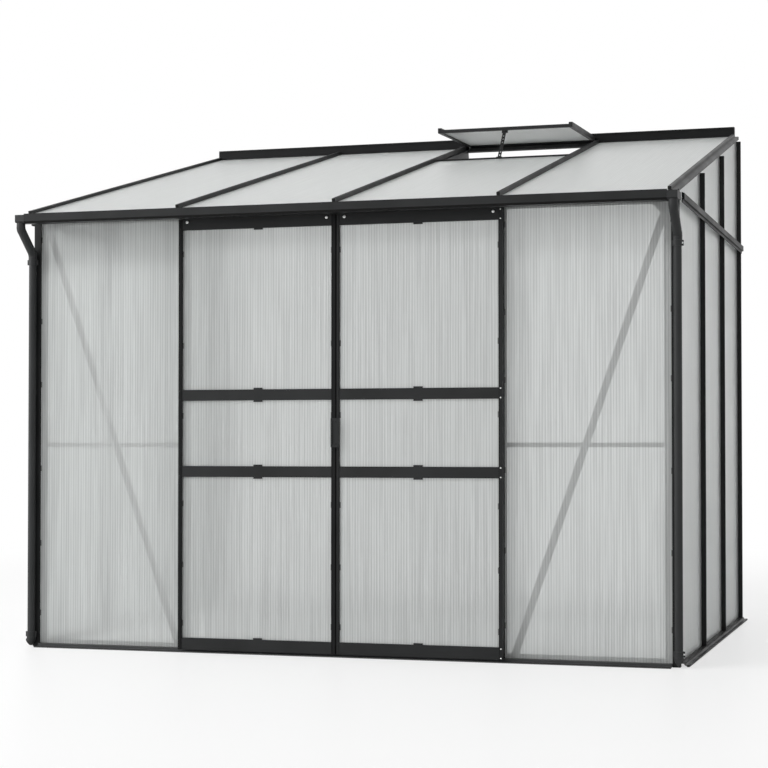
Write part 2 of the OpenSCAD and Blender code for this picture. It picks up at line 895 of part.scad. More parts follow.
module pipe_elbows() {
    color(pipe_colour) placed() both_sides() {
        translate([pipe_x, spigot_y, elbow_knee + bend_cut - tuck])
            socket(elbow_top - elbow_knee - bend_cut + tuck);
        translate([pipe_x, spigot_y + bend_r, elbow_knee + bend_cut])
            rotate([-90, 0, -90]) bend(elbow_lean);
        translate([pipe_x, pipe_y, elbow_low]) rotate([elbow_lean, 0, 0])
            translate([0, 0, bend_cut - tuck]) socket(elbow_run - 2 * bend_cut + 2 * tuck);
        translate([pipe_x, pipe_y - bend_r, elbow_low - bend_cut])
            rotate([90, 0, 90]) bend(elbow_lean);
        translate([pipe_x, pipe_y, elbow_bottom])
            socket(elbow_low - bend_cut - elbow_bottom + tuck);
    }
}

shoe_top = 38;
shoe_lean = 52;
shoe_knee = 25;
shoe_cut = bend_r * tan(shoe_lean / 2);

module downpipes() {
    z0 = shoe_knee + shoe_cut + 0.5;
    color(pipe_colour) placed() both_sides()
        translate([pipe_x, pipe_y, z0])
            difference() {
                cylinder(r = pipe_r, h = elbow_low - bend_cut - z0, $fn = 48);
                translate([0, 0, -1])
                    cylinder(r = pipe_r - pipe_wall, h = elbow_low - z0, $fn = 48);
            }
}

// Outlet shoe, kicked out sideways at the foot of the pipe
module pipe_shoes() {
    color(pipe_colour) placed() both_sides()
        translate([pipe_x, pipe_y, shoe_knee + shoe_cut]) {
            translate([0, 0, -tuck]) socket(shoe_top - shoe_knee - shoe_cut + tuck);
            translate([bend_r, 0, 0]) rotate([-90, 0, 180]) bend(shoe_lean);
            translate([0, 0, -shoe_cut]) rotate([0, 180 - shoe_lean, 0])
                translate([0, 0, shoe_cut - tuck]) socket(2 + tuck);
        }
}

// Ring round a pipe with a lug on either side
module pipe_clip(inner_r) {
    difference() {
        union() {
            cylinder(r = elbow_r, h = clip_h, $fn = 48);
            translate([-clip_w / 2, -3, 0]) cube([clip_w, 6, clip_h]);
        }
        translate([0, 0, -1]) cylinder(r = inner_r, h = clip_h + 2, $fn = 48);
    }
}

module pipe_clips() {
    color(pipe_colour) placed() both_sides()
        for (z = [clip_z - clip_h / 2, shoe_top + seal])
            translate([pipe_x, pipe_y, z]) pipe_clip(socket_r);
}

// ---------- doors ----------

// Distances from the middle of the building to the leaves' edges, and heights of their rails
// as [low, high]
left_x0 = meeting_gap / 2 + meeting_in;
right_x0 = meeting_gap / 2 - meeting_in;
left_x1 = jamb_x + door_lap + pair_in;
right_x1 = jamb_x + door_lap - pair_in;
rail_heights = [
    [door_gap, door_gap + bottom_rail_h],
    [low_rail_z - mid_rail_h / 2, low_rail_z + mid_rail_h / 2],
    [high_rail_z - mid_rail_h / 2, high_rail_z + mid_rail_h / 2],
    [door_top - top_rail_h, door_top]
];
groove_y0 = door_axis - sheet_t / 2 - seal;
groove_t = sheet_t + 2 * seal;

// Stile from above, its width along x and its groove on the side away from x = 0
module stile_profile(width) {
    difference() {
        translate([0, door_front]) square([width, door_t]);
        translate([wall, door_front + wall]) square([width - bite - 2 * wall, door_t - 2 * wall]);
        translate([width - bite, groove_y0]) square([bite + 1, groove_t]);
        translate([width - 4, door_front - 1]) square([1.5, 2]);
    }
}

// Parts of a leaf that runs outwards from x0 to x1, with a meeting stile of the given width
module leaf_stiles(x0, x1, meeting_w) {
    h = door_top - door_gap;
    translate([x0, 0, door_gap]) linear_extrude(h) stile_profile(meeting_w);
    translate([x1, 0, door_gap]) mirror([1, 0, 0]) linear_extrude(h) stile_profile(stile_w);
}

// Rail from x0 to x1 between two heights, with a groove and a clip for each sheet it holds
module leaf_rail(x0, x1, z, below, above) {
    along_x(x0, x1)
        difference() {
            translate([door_front + 1, z[0]]) square([door_t - 2, z[1] - z[0]]);
            translate([door_front + 1 + wall, z[0] + (below ? bite + wall : wall)])
                square([
                    door_t - 2 - 2 * wall,
                    z[1] - z[0] - (below ? bite : 0) - (above ? bite : 0) - 2 * wall
                ]);
            if (below) translate([groove_y0, z[0] - 1]) square([groove_t, bite + 1]);
            if (above) translate([groove_y0, z[1] - bite]) square([groove_t, bite + 1]);
        }
    clip_t = groove_y0 - door_front - 1 - seal;
    translate([(bay - rail_clip_w) / 2, door_front + 1, 0]) {
        if (below) translate([0, 0, z[0] - rail_clip_h]) cube([rail_clip_w, clip_t, rail_clip_h + 1]);
        if (above) translate([0, 0, z[1] - 1]) cube([rail_clip_w, clip_t, rail_clip_h + 1]);
    }
}

module leaf_rails(x0, x1, meeting_w) {
    last = len(rail_heights) - 1;
    for (i = [0 : last])
        leaf_rail(
            x0 + meeting_w + seal / 2, x1 - stile_w - seal / 2,
            rail_heights[i], i > 0, i < last
        );
}

module leaf_sheets(x0, x1, meeting_w) {
    sheet_x0 = x0 + meeting_w - bite + 1;
    sheet_x1 = x1 - stile_w + bite - 1;
    for (i = [0 : len(rail_heights) - 2]) {
        z0 = rail_heights[i][1] - bite + seal;
        z1 = rail_heights[i + 1][0] + bite - 1;
        translate([sheet_x0, door_axis - sheet_t / 2, z0])
            cube([sheet_x1 - sheet_x0, sheet_t, z1 - z0]);
    }
}

// Hanger: a plate on the top rail that carries an axle with two rollers in the track
module leaf_hangers(x0, x1) {
    axle_z = track_bottom + wall + roller_r + seal;
    plate_w = 26;
    for (x = [x0 + hanger_in, x1 - hanger_in])
        translate([x, door_axis, 0]) {
            translate([-plate_w / 2, -1.5, door_top + seal]) cube([plate_w, 3, axle_z + 4 - door_top]);
            translate([0, 0, axle_z]) rotate([90, 0, 0])
                cylinder(r = 2.5, h = slot_w + 1 + roller_w, center = true, $fn = 24);
            for (side = [-1, 1])
                translate([0, side * (slot_w / 2 + 0.5), axle_z]) rotate([90, 0, 0])
                    cylinder(r = roller_r, h = roller_w, center = true, $fn = 32);
        }
}

module left_door_stiles() {
    color(frame_colour) placed() mirror([1, 0, 0]) leaf_stiles(left_x0, left_x1, left_meeting_w);
}

module left_door_rails() {
    color(frame_colour) placed() mirror([1, 0, 0]) leaf_rails(left_x0, left_x1, left_meeting_w);
}

module left_door_sheets() {
    color(sheet_colour) placed() mirror([1, 0, 0]) leaf_sheets(left_x0, left_x1, left_meeting_w);
}

module left_door_hangers() {
    color(frame_colour) placed() mirror([1, 0, 0]) leaf_hangers(left_x0, left_x1);
}

// Pull plate on the left leaf's meeting stile, lapping in front of the right leaf's stile
module left_door_pull() {
    lap = 5;
    block_w = left_meeting_w - 4;
    x0 = -left_x0 - left_meeting_w;
    color(frame_colour) placed() {
        translate([x0, door_front - lap - 3, pull_z - pull_h / 2]) cube([pull_w, 3, pull_h]);
        translate([x0, door_front - lap - 1, pull_z - pull_h / 2 + 4])
            cube([block_w, lap + 1 - seal, pull_h - 8]);
    }
}

module right_door_stiles() {
    color(frame_colour) placed() leaf_stiles(right_x0, right_x1, right_meeting_w);
}

module right_door_rails() {
    color(frame_colour) placed() leaf_rails(right_x0, right_x1, right_meeting_w);
}

module right_door_sheets() {
    color(sheet_colour) placed() leaf_sheets(right_x0, right_x1, right_meeting_w);
}

module right_door_hangers() {
    color(frame_colour) placed() leaf_hangers(right_x0, right_x1);
}

front_base_rail();
left_base_rail();
right_base_rail();
rear_base_rail();
left_corner_post();
right_corner_post();
door_jambs();
left_gable_bars();
right_gable_bars();
left_wall_post();
right_wall_post();
eave_beam();
door_track();
gable_eave_bars();
left_end_rafter();
right_end_rafter();
roof_bars();
wall_plate();
front_mid_rails();
front_braces();
eave_gussets();
front_sheets();
left_gable_sheets();
right_gable_sheets();
roof_sheets();
vent_curb();
vent_sash();
vent_sheet();
vent_stay();
gutter();
gutter_outlets();
pipe_elbows();
downpipes();
pipe_clips();
pipe_shoes();
left_door_stiles();
left_door_rails();
left_door_sheets();
left_door_hangers();
left_door_pull();
right_door_stiles();
right_door_rails();
right_door_sheets();
right_door_hangers();
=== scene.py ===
"""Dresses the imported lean-to greenhouse: its finishes, fixings, seals and caps, and the studio round it."""

import logging
import math
from collections.abc import Callable, Iterable
from dataclasses import dataclass
from enum import Enum

import bmesh
import bpy
from mathutils import Matrix, Vector

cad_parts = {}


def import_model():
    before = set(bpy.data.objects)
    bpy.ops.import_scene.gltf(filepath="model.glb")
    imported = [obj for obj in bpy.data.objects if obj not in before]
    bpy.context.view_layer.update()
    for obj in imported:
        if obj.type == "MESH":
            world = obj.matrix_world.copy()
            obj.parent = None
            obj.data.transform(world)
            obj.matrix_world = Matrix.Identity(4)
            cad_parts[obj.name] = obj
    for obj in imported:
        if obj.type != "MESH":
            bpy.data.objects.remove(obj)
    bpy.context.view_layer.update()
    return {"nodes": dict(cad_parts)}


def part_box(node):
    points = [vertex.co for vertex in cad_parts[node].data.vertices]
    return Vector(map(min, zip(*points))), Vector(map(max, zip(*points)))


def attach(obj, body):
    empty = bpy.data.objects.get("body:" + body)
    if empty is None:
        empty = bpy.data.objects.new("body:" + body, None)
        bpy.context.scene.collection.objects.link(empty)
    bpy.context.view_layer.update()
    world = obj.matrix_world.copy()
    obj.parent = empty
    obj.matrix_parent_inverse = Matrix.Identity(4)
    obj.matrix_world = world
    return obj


log = logging.getLogger("greenhouse")

Point = tuple[float, float, float]
Pair = tuple[float, float]
Outline = list[Pair]
Socket = bpy.types.NodeSocket

MM = 0.001
SEAL = 0.3  # gap in millimetres between a sheet and the profile that holds it
QUARTER_TURN = math.radians(90.0)
SMOOTH_BELOW = math.radians(35.0)  # edges flatter than this are shaded smooth
NOISE_SPAN = (0.3, 0.7)  # where nearly all of a noise's values lie


class Body(Enum):
    """The bodies that pieces ride on."""

    FRAME = "frame"
    LEFT = "left_door"
    RIGHT = "right_door"


class Slot(Enum):
    """Names of the record's material slots; the script gives none of them to the added pieces."""

    FRAME = "frame"
    DOOR = "door_frame"
    HANDLE = "handle"
    RUNNER = "runner"
    RAIN = "rainwater"


class Grain(Enum):
    """How a sheet's streaks are stretched: fine across the webs and long beside them."""

    ACROSS_X = (1.0, 0.012, 0.012)
    ACROSS_Y = (0.012, 1.0, 0.012)


class Hand(Enum):
    """The left and the right one of a pair: the value is the sign of its x."""

    LEFT = -1
    RIGHT = 1

    @property
    def word(self) -> str:
        """The hand as it stands in a piece's name."""
        return self.name.lower()


class Facing(Enum):
    """The turn that points a fixing's head out of the front or back into the room."""

    FRONT = Matrix.Rotation(QUARTER_TURN, 4, "X")
    BACK = Matrix.Rotation(-QUARTER_TURN, 4, "X")


# ---------- steps of modelling by hand ----------


def deselect() -> None:
    """Leaves edit mode and drops the selection."""
    if bpy.context.object and bpy.context.object.mode != "OBJECT":
        bpy.ops.object.mode_set(mode="OBJECT")
    bpy.ops.object.select_all(action="DESELECT")


def activate(obj: bpy.types.Object) -> None:
    """Makes one object the only selected and active one.

    Args:
        obj: The object to work on.
    """
    deselect()
    obj.select_set(True)
    bpy.context.view_layer.objects.active = obj


def pick(obj: bpy.types.Object, test: Callable[[bmesh.types.BMFace], bool]) -> None:
    """Selects faces in edit mode.

    Args:
        obj: The object in hand.
        test: Says of a face whether it is wanted.
    """
    if obj.mode != "EDIT":
        activate(obj)
        bpy.ops.object.mode_set(mode="EDIT")
    bpy.ops.mesh.select_mode(type="FACE")
    bpy.ops.mesh.select_all(action="DESELECT")
    mesh = bmesh.from_edit_mesh(obj.data)
    for face in mesh.faces:
        face.select_set(test(face))
    bmesh.update_edit_mesh(obj.data)


def on_top(height: float) -> Callable[[bmesh.types.BMFace], bool]:
    """Gives a test for the level faces at a height."""
    return lambda face: face.normal.z > 0.9 and abs(face.calc_center_median().z - height) < 1e-5


def extrude(move: Point) -> None:
    """Extrudes the picked faces by a move in metres."""
    bpy.ops.mesh.extrude_region_move(TRANSFORM_OT_translate={"value": move})


def cut_corners(low: Pair, high: Pair, cut: Pair) -> Outline:
    """Gives a rectangle with its two upper corners cut off.

    Args:
        low: The lower left corner.
        high: The upper right corner.
        cut: How far each cut runs along the top, and how far down the side.

    Returns:
        Six corners, anticlockwise from the lower left one.
    """
    (left, foot), (right, top), (run, drop) = low, high, cut
    side = top - drop
    return [(left, foot), (right, foot), (right, side), (right - run, top), (left + run, top), (left, side)]


def crowned(middle: float, half: float, shoulder: Pair, crown: float) -> Outline:
    """Gives the section of a strip that is flat below and swells along its middle.

    Args:
        middle: Where the crown is.
        half: Half of the strip's width.
        shoulder: How far the shoulder stands in from the edge, and its height.
        crown: Height of the crown.

    Returns:
        Five corners, anticlockwise from the lower left one.
    """
    left, right = middle - half, middle + half
    inset, edge = shoulder
    return [(left, 0.0), (right, 0.0), (right - inset, edge), (middle, crown), (left + inset, edge)]


def prism(outline: Outline, depth: float) -> bpy.types.Object:
    """Fills an outline in the XY plane and extrudes it upwards.

    Args:
        outline: Corners in millimetres, anticlockwise from above.
        depth: Height of the extrusion in millimetres.

    Returns:
        The new object.
    """
    deselect()
    bpy.ops.mesh.primitive_circle_add(vertices=len(outline), radius=1.0, fill_type="NGON")
    obj = bpy.context.object
    for vert, (u, v) in zip(obj.data.vertices, outline):
        vert.co = (u * MM, v * MM, 0.0)
    pick(obj, lambda face: True)
    extrude((0.0, 0.0, depth * MM))
    bpy.ops.mesh.select_all(action="SELECT")
    bpy.ops.mesh.normals_make_consistent(inside=False)
    deselect()
    return obj


def drum(radius: float, height: float, sides: int) -> bpy.types.Object:
    """Adds an upright drum that stands on z = 0.

    Args:
        radius: Radius in millimetres.
        height: Height in millimetres.
        sides: Number of sides.

    Returns:
        The new object.
    """
    deselect()
    bpy.ops.mesh.primitive_cylinder_add(
        vertices=sides, radius=radius * MM, depth=height * MM, location=(0.0, 0.0, height * MM / 2.0)
    )
    obj = bpy.context.object
    bpy.ops.object.transform_apply(location=True, rotation=True, scale=True)
    return obj


def soften(obj: bpy.types.Object, width: float, segments: int = 2, angle: float = 40.0) -> None:
    """Rounds the sharp edges and shades the flatter ones smooth.

    Args:
        obj: The object in hand.
        width: Width of the rounding in millimetres.
        segments: Steps in the rounding.
        angle: Edges sharper than this many degrees are rounded.
    """
    activate(obj)
    bevel = obj.modifiers.new("edges", "BEVEL")
    bevel.width = width * MM
    bevel.segments = segments
    bevel.limit_method = "ANGLE"
    bevel.angle_limit = math.radians(angle)
    bpy.ops.object.modifier_apply(modifier=bevel.name)
    bpy.ops.object.shade_smooth_by_angle(angle=SMOOTH_BELOW)
    deselect()


def place(spot: Point, turn: Matrix = Matrix.Identity(4)) -> Matrix:
    """Gives the move to a spot.

    Args:
        spot: Place in millimetres.
        turn: The turn made first.

    Returns:
        The whole move, in metres.
    """
    return Matrix.Translation(Vector(spot) * MM) @ turn


def lying(along: Point, up: Point) -> Matrix:
    """Gives the turn that lays a prism's height along one direction and its y along another."""
    w, v = Vector(along), Vector(up)
    return Matrix((v.cross(w), v, w)).transposed().to_4x4()


LYING_X = lying((1.0, 0.0, 0.0), (0.0, 0.0, 1.0))
LYING_Y = lying((0.0, 1.0, 0.0), (0.0, 0.0, 1.0))


def copies(master: bpy.types.Object, name: str, moves: Iterable[Matrix]) -> bpy.types.Object:
    """Copies a finished piece to each of its places and joins the copies.

    Args:
        master: The piece as modelled, which is used up.
        name: Name of the joined piece.
        moves: Where each copy goes.

    Returns:
        The joined piece, at the origin.
    """
    made = []
    for move in moves:
        activate(master)
        bpy.ops.object.duplicate(linked=False)
        copy = bpy.context.object
        copy.data.transform(move)
        made.append(copy)
    deselect()
    bpy.data.objects.remove(master)
    for copy in made:
        copy.select_set(True)
    bpy.context.view_layer.objects.active = made[0]
    if len(made) > 1:
        bpy.ops.object.join()
    made[0].name = name
    made[0].data.name = name
    deselect()
    return made[0]


def row(
    master: bpy.types.Object, name: str, spots: Iterable[Point], turn: Matrix = Matrix.Identity(4)
) -> bpy.types.Object:
    """Copies a finished piece to each of its spots, all turned alike.

    Args:
        master: The piece as modelled, which is used up.
        name: Name of the joined piece.
        spots: Places in millimetres.
        turn: The turn that each copy gets.

    Returns:
        The joined piece, at the origin.
    """
    return copies(master, name, (place(spot, turn) for spot in spots))


def fit(
    obj: bpy.types.Object, finish: bpy.types.Material, body: Body = Body.FRAME
) -> None:
    """Gives a piece its finish and its body.

    Args:
        obj: The finished piece.
        finish: Its material.
        body: The body that it rides on.
    """
    obj.data.materials.clear()
    obj.data.materials.append(finish)
    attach(obj, body.value)
    log.info("%s: %d faces on %s", obj.name, len(obj.data.polygons), body.value)


# ---------- finishes ----------


class Nodes:
    """The nodes of a material or of the world, under construction."""

    def __init__(self, owner: bpy.types.Material | bpy.types.World) -> None:
        """Starts the nodes.

        Args:
            owner: What the nodes belong to.
        """
        owner.use_nodes = True
        self.tree = owner.node_tree

    def node(self, kind: str) -> bpy.types.Node:
        """Adds a shader node."""
        return self.tree.nodes.new(f"ShaderNode{kind}")

    def wire(self, source: Socket, target: Socket) -> None:
        """Links two sockets."""
        self.tree.links.new(source, target)

    def maths(self, kind: str, a: Socket, b: float | Socket = 0.0) -> Socket:
        """Adds a maths node.

        Args:
            kind: The operation.
            a: First input.
            b: Second input, a number or a socket.

        Returns:
            The node's result.
        """
        node = self.node("Math")
        node.operation = kind
        self.wire(a, node.inputs[0])
        if isinstance(b, float):
            node.inputs[1].default_value = b
        else:
            self.wire(b, node.inputs[1])
        return node.outputs[0]

    def ramp(self, value: Socket, span: Pair, result: Pair, kind: str = "LINEAR") -> Socket:
        """Maps a span of a value to a range, and keeps what lies outside the span at its ends.

        Args:
            value: The value.
            span: Where the value starts and ends.
            result: What it gives there.
            kind: How it runs in between.

        Returns:
            The mapped value.
        """
        node = self.node("MapRange")
        node.interpolation_type = kind
        for name, number in zip(("From Min", "From Max", "To Min", "To Max"), (*span, *result)):
            node.inputs[name].default_value = number
        self.wire(value, node.inputs["Value"])
        return node.outputs["Result"]


class Surface(Nodes):
    """A material under construction, with its one Principled shader."""

    def __init__(self, name: str) -> None:
        """Starts the material.

        Args:
            name: Name of the material.
        """
        self.material = bpy.data.materials.new(name)
        super().__init__(self.material)
        self.shader = self.tree.nodes["Principled BSDF"]
        self.coords = self.node("TexCoord").outputs["Object"]

    def noise(self, scale: float, detail: float, stretch: Point | None = None) -> Socket:
        """Adds a noise over the object's coordinates.

        Args:
            scale: Cells in a metre.
            detail: Octaves.
            stretch: Factors on the three axes, where they differ.

        Returns:
            The noise's value.
        """
        source = self.coords
        if stretch:
            mapping = self.node("Mapping")
            mapping.inputs["Scale"].default_value = stretch
            self.wire(source, mapping.inputs["Vector"])
            source = mapping.outputs["Vector"]
        node = self.node("TexNoise")
        node.inputs["Scale"].default_value = scale
        node.inputs["Detail"].default_value = detail
        self.wire(source, node.inputs["Vector"])
        return node.outputs["Fac"]

    def spread(self, value: Socket, low: float, high: float) -> Socket:
        """Maps a noise, which hardly leaves its middle, to a whole range."""
        return self.ramp(value, NOISE_SPAN, (low, high))

    def tint(self, value: Socket, colour: Point, spread: float) -> None:
        """Colours the shader, darker where a value is low and paler where it is high.

        Args:
            value: Runs from 0 to 1.
            colour: The middle colour.
            spread: Share by which the colour falls and rises.
        """
        mix = self.node("Mix")
        mix.data_type = "RGBA"
        # The node has sockets of every type: its two colours are inputs 6 and 7, and their mix is output 2.
        for socket, factor in ((6, 1.0 - spread), (7, 1.0 + spread)):
            mix.inputs[socket].default_value = (*(min(c * factor, 1.0) for c in colour), 1.0)
        self.wire(value, mix.inputs[0])
        self.wire(mix.outputs[2], self.shader.inputs["Base Color"])

    def bump(self, height: Socket, strength: float, distance: float) -> None:
        """Roughens the surface.

        Args:
            height: The relief.
            strength: From 0 to 1.
            distance: Depth of the relief in metres.
        """
        node = self.node("Bump")
        node.inputs["Strength"].default_value = strength
        node.inputs["Distance"].default_value = distance
        self.wire(height, node.inputs["Height"])
        self.wire(node.outputs["Normal"], self.shader.inputs["Normal"])

    def constants(self, **values: float) -> None:
        """Sets the shader's own sockets, named with _ for a space."""
        for name, value in values.items():
            self.shader.inputs[name.replace("_", " ")].default_value = value


@dataclass(frozen=True)
class PowderCoat:
    """Anthracite powder coat: a fine orange-peel skin with a little dust in it."""

    name: str
    colour: Point = (0.0176, 0.0184, 0.0188)
    roughness: float = 0.44
    specular: float = 0.18
    peel: float = 0.08
    dust_cells: float = 7.0
    dust_share: float = 0.16
    clean_to_dusty: Pair = (-0.05, 0.07)
    peel_cells: float = 900.0
    peel_depth: float = 0.0004

    def build(self) -> bpy.types.Material:
        """Builds the material.

        Returns:
            The finished material.
        """
        nodes = Surface(self.name)
        dust = nodes.noise(self.dust_cells, detail=5.0)
        nodes.tint(nodes.spread(dust, 0.0, 1.0), self.colour, self.dust_share)
        smooth, rough = (self.roughness + change for change in self.clean_to_dusty)
        nodes.wire(nodes.spread(dust, smooth, rough), nodes.shader.inputs["Roughness"])
        nodes.bump(nodes.noise(self.peel_cells, detail=2.0), self.peel, self.peel_depth)
        nodes.constants(Specular_IOR_Level=self.specular)
        return nodes.material


@dataclass(frozen=True)
class TwinWall:
    """Milky twin-wall sheet: the webs between its two skins show as fine lines along it."""

    name: str
    grain: Grain
    colour: Point = (0.69, 0.7065, 0.6995)
    clearness: float = 0.54
    blur: float = 0.32
    pitch: float = 10.35
    spread: float = 0.13
    streak_cells: float = 230.0
    web_share: float = 0.45
    web_relief: float = 0.25
    web_depth: float = 0.0005
    index: float = 1.2

    def build(self) -> bpy.types.Material:
        """Builds the material.

        Returns:
            The finished material.
        """
        nodes = Surface(self.name)
        split = nodes.node("SeparateXYZ")
        nodes.wire(nodes.coords, split.inputs["Vector"])
        across = split.outputs[0 if self.grain is Grain.ACROSS_X else 1]
        turns = nodes.maths("MULTIPLY", across, 2.0 * math.pi / (self.pitch * MM))
        webs = nodes.maths("SINE", turns)
        streaks = nodes.noise(self.streak_cells, detail=2.0, stretch=self.grain.value)
        streaks = nodes.spread(streaks, 0.0, 1.0)
        lines = nodes.maths("ADD", nodes.maths("MULTIPLY", webs, self.web_share), streaks)
        nodes.tint(lines, self.colour, self.spread)
        nodes.bump(webs, self.web_relief, self.web_depth)
        nodes.constants(Roughness=self.blur, Transmission_Weight=self.clearness, IOR=self.index)
        return nodes.material


@dataclass(frozen=True)
class Moulding:
    """Rubber, nylon or a sprung clip: plain stuff, a little mottled, with a fine grain."""

    name: str
    colour: Point
    roughness: float
    specular: float = 0.2
    mottle_cells: float = 60.0
    mottle: float = 0.3
    grain_cells: float = 1400.0
    grain: float = 0.15
    grain_depth: float = 0.0003

    def build(self) -> bpy.types.Material:
        """Builds the material.

        Returns:
            The finished material.
        """
        nodes = Surface(self.name)
        nodes.tint(nodes.noise(self.mottle_cells, detail=4.0), self.colour, self.mottle)
        nodes.bump(nodes.noise(self.grain_cells, detail=1.0), self.grain, self.grain_depth)
        nodes.constants(Roughness=self.roughness, Specular_IOR_Level=self.specular)
        return nodes.material


@dataclass(frozen=True)
class BrightZinc:
    """Zinc-plated steel, bright and dull in small patches, with a fine grain."""

    name: str
    colour: Point = (0.8, 0.81, 0.8)
    spangle_cells: float = 400.0
    spangle_share: float = 0.12
    bright_to_dull: Pair = (0.26, 0.42)
    grain_cells: float = 2500.0
    grain: float = 0.05
    grain_depth: float = 0.0001

    def build(self) -> bpy.types.Material:
        """Builds the material.

        Returns:
            The finished material.
        """
        nodes = Surface(self.name)
        spangle = nodes.noise(self.spangle_cells, detail=3.0)
        nodes.tint(spangle, self.colour, self.spangle_share)
        nodes.wire(nodes.spread(spangle, *self.bright_to_dull), nodes.shader.inputs["Roughness"])
        nodes.bump(nodes.noise(self.grain_cells, detail=1.0), self.grain, self.grain_depth)
        nodes.constants(Metallic=1.0)
        return nodes.material


class Finishes:
    """Every finish on the greenhouse, built once."""

    def __init__(self) -> None:
        """Builds the materials."""
        # dark and black make darker copies of the one anthracite coat: painted shade on the bars, posts,
        # jambs, stiles, track, hangers, wall plate and side base rails.
        dark, black, grey = (0.0145, 0.0151, 0.0154), (0.009, 0.0093, 0.0095), (0.056, 0.0582, 0.059)
        # shaded makes a darker copy of the sheets' colour: painted shade on the door sheets.
        pipe, shaded = (0.026, 0.0272, 0.0278), (0.617, 0.632, 0.6255)
        # sunny makes a lighter copy of the sheets' colour: painted light on the roof sheets.
        clear, sunny = (0.73, 0.7475, 0.74), (0.72, 0.7373, 0.7296)
        across_x, across_y = Grain.ACROSS_X, Grain.ACROSS_Y
        self.coat = PowderCoat("coat").build()
        self.coat_bars_painted_shade = PowderCoat("coat_bars_painted_shade", dark, specular=0.17).build()
        self.coat_stiles_painted_deep_shade = PowderCoat("coat_stiles_painted_deep_shade", black, specular=0.1).build()
        # grey makes a lighter, more specular copy of the same coat: painted light on the front base rail.
        self.coat_sill_painted_light = PowderCoat("coat_sill_painted_light", grey, specular=0.36).build()
        self.plastic = PowderCoat("rain_plastic", pipe, roughness=0.5, specular=0.22, peel=0.03).build()
        self.front = TwinWall("twin_wall_front", across_x).build()
        self.door = TwinWall("twin_wall_door_painted_shade", across_x, shaded).build()
        self.gable = TwinWall("twin_wall_gable", across_y, clear, clearness=0.8).build()
        self.roof = TwinWall("twin_wall_roof_painted_light", across_x, sunny, clearness=0.48, spread=0.06).build()
        self.rubber = Moulding("rubber", (0.009, 0.009, 0.009), 0.75, 0.12).build()
        self.nylon = Moulding("nylon", (0.014, 0.0143, 0.0146), 0.5).build()
        self.spring = Moulding("spring_clip", (0.15, 0.152, 0.151), 0.45).build()
        self.zinc = BrightZinc("bright_zinc").build()
        self.steel = BrightZinc("dull_steel", (0.42, 0.42, 0.41)).build()


# ---------- fixings, modelled once and copied ----------


@dataclass(frozen=True)
class PanHead:
    """Head of a screw or rivet, crowned and with a socket in it.

    Its sizes after the first two are shares: of the height the wall and the socket, of the radius the rest.
    """

    radius: float
    height: float
    wall: float = 0.6
    crown_in: float = 0.35
    rim: float = 0.3
    socket: float = 0.5
    rounding: float = 0.08

    def model(self) -> bpy.types.Object:
        """Models one head that stands on z = 0.

        Returns:
            The head.
        """
        wall = self.height * self.wall
        head = drum(self.radius, wall, sides=16)
        pick(head, on_top(wall * MM))
        bpy.ops.mesh.inset(thickness=self.radius * self.crown_in * MM)
        bpy.ops.transform.translate(value=(0.0, 0.0, self.height * (1.0 - self.wall) * MM))
        bpy.ops.mesh.inset(thickness=self.radius * self.rim * MM)
        extrude((0.0, 0.0, -self.height * self.socket * MM))
        soften(head, self.radius * self.rounding, segments=1)
        return head


@dataclass(frozen=True)
class NutAndBolt:
    """A nut on its washer, with the end of the bolt standing out of it.

    Its sizes after the first are shares of the first.
    """

    across: float = 9.0
    washer: float = 0.12
    washer_radius: float = 0.5
    shank_in: float = 0.28
    shank: float = 0.85
    lead_in: float = 0.03
    lead: float = 0.04
    nut: float = 0.6
    nut_radius: float = 0.46
    nut_crown: Pair = (0.08, 0.05)
    rounding: float = 0.03

    def model(self) -> bpy.types.Object:
        """Models one that stands on z = 0.

        Returns:
            The nut, washer and bolt end.
        """
        washer, nut = self.washer * self.across, self.nut * self.across
        piece = drum(self.across * self.washer_radius, washer, sides=18)
        pick(piece, on_top(washer * MM))
        bpy.ops.mesh.inset(thickness=self.across * self.shank_in * MM)
        extrude((0.0, 0.0, self.across * self.shank * MM))
        bpy.ops.mesh.inset(thickness=self.across * self.lead_in * MM)
        extrude((0.0, 0.0, self.across * self.lead * MM))
        hexagon = drum(self.across * self.nut_radius, nut, sides=6)
        hexagon.data.transform(place((0.0, 0.0, washer)))
        pick(hexagon, on_top((nut + washer) * MM))
        bpy.ops.mesh.inset(thickness=self.across * self.nut_crown[0] * MM)
        bpy.ops.transform.translate(value=(0.0, 0.0, self.across * self.nut_crown[1] * MM))
        activate(piece)
        hexagon.select_set(True)
        bpy.ops.object.join()
        soften(piece, self.across * self.rounding, segments=1)
        return piece


@dataclass(frozen=True)
class SheetClip:
    """Short spring clip that holds a sheet against a bar."""

    width: float = 4.0
    height: float = 1.3
    lip: float = 0.6
    length: float = 22.0

    def model(self) -> bpy.types.Object:
        """Models one upright clip, in the middle of its length.

        Returns:
            The clip.
        """
        half, crown = self.width / 2.0, self.width / 5.0
        left = [(-half, 0.0), (-half, -self.lip), (-crown, -self.height)]
        right = [(crown, -self.height), (half, -self.lip), (half, 0.0)]
        clip = prism(left + right, self.length)
        clip.data.transform(place((0.0, 0.0, -self.length / 2.0)))
        soften(clip, 0.25, segments=1, angle=25.0)
        return clip


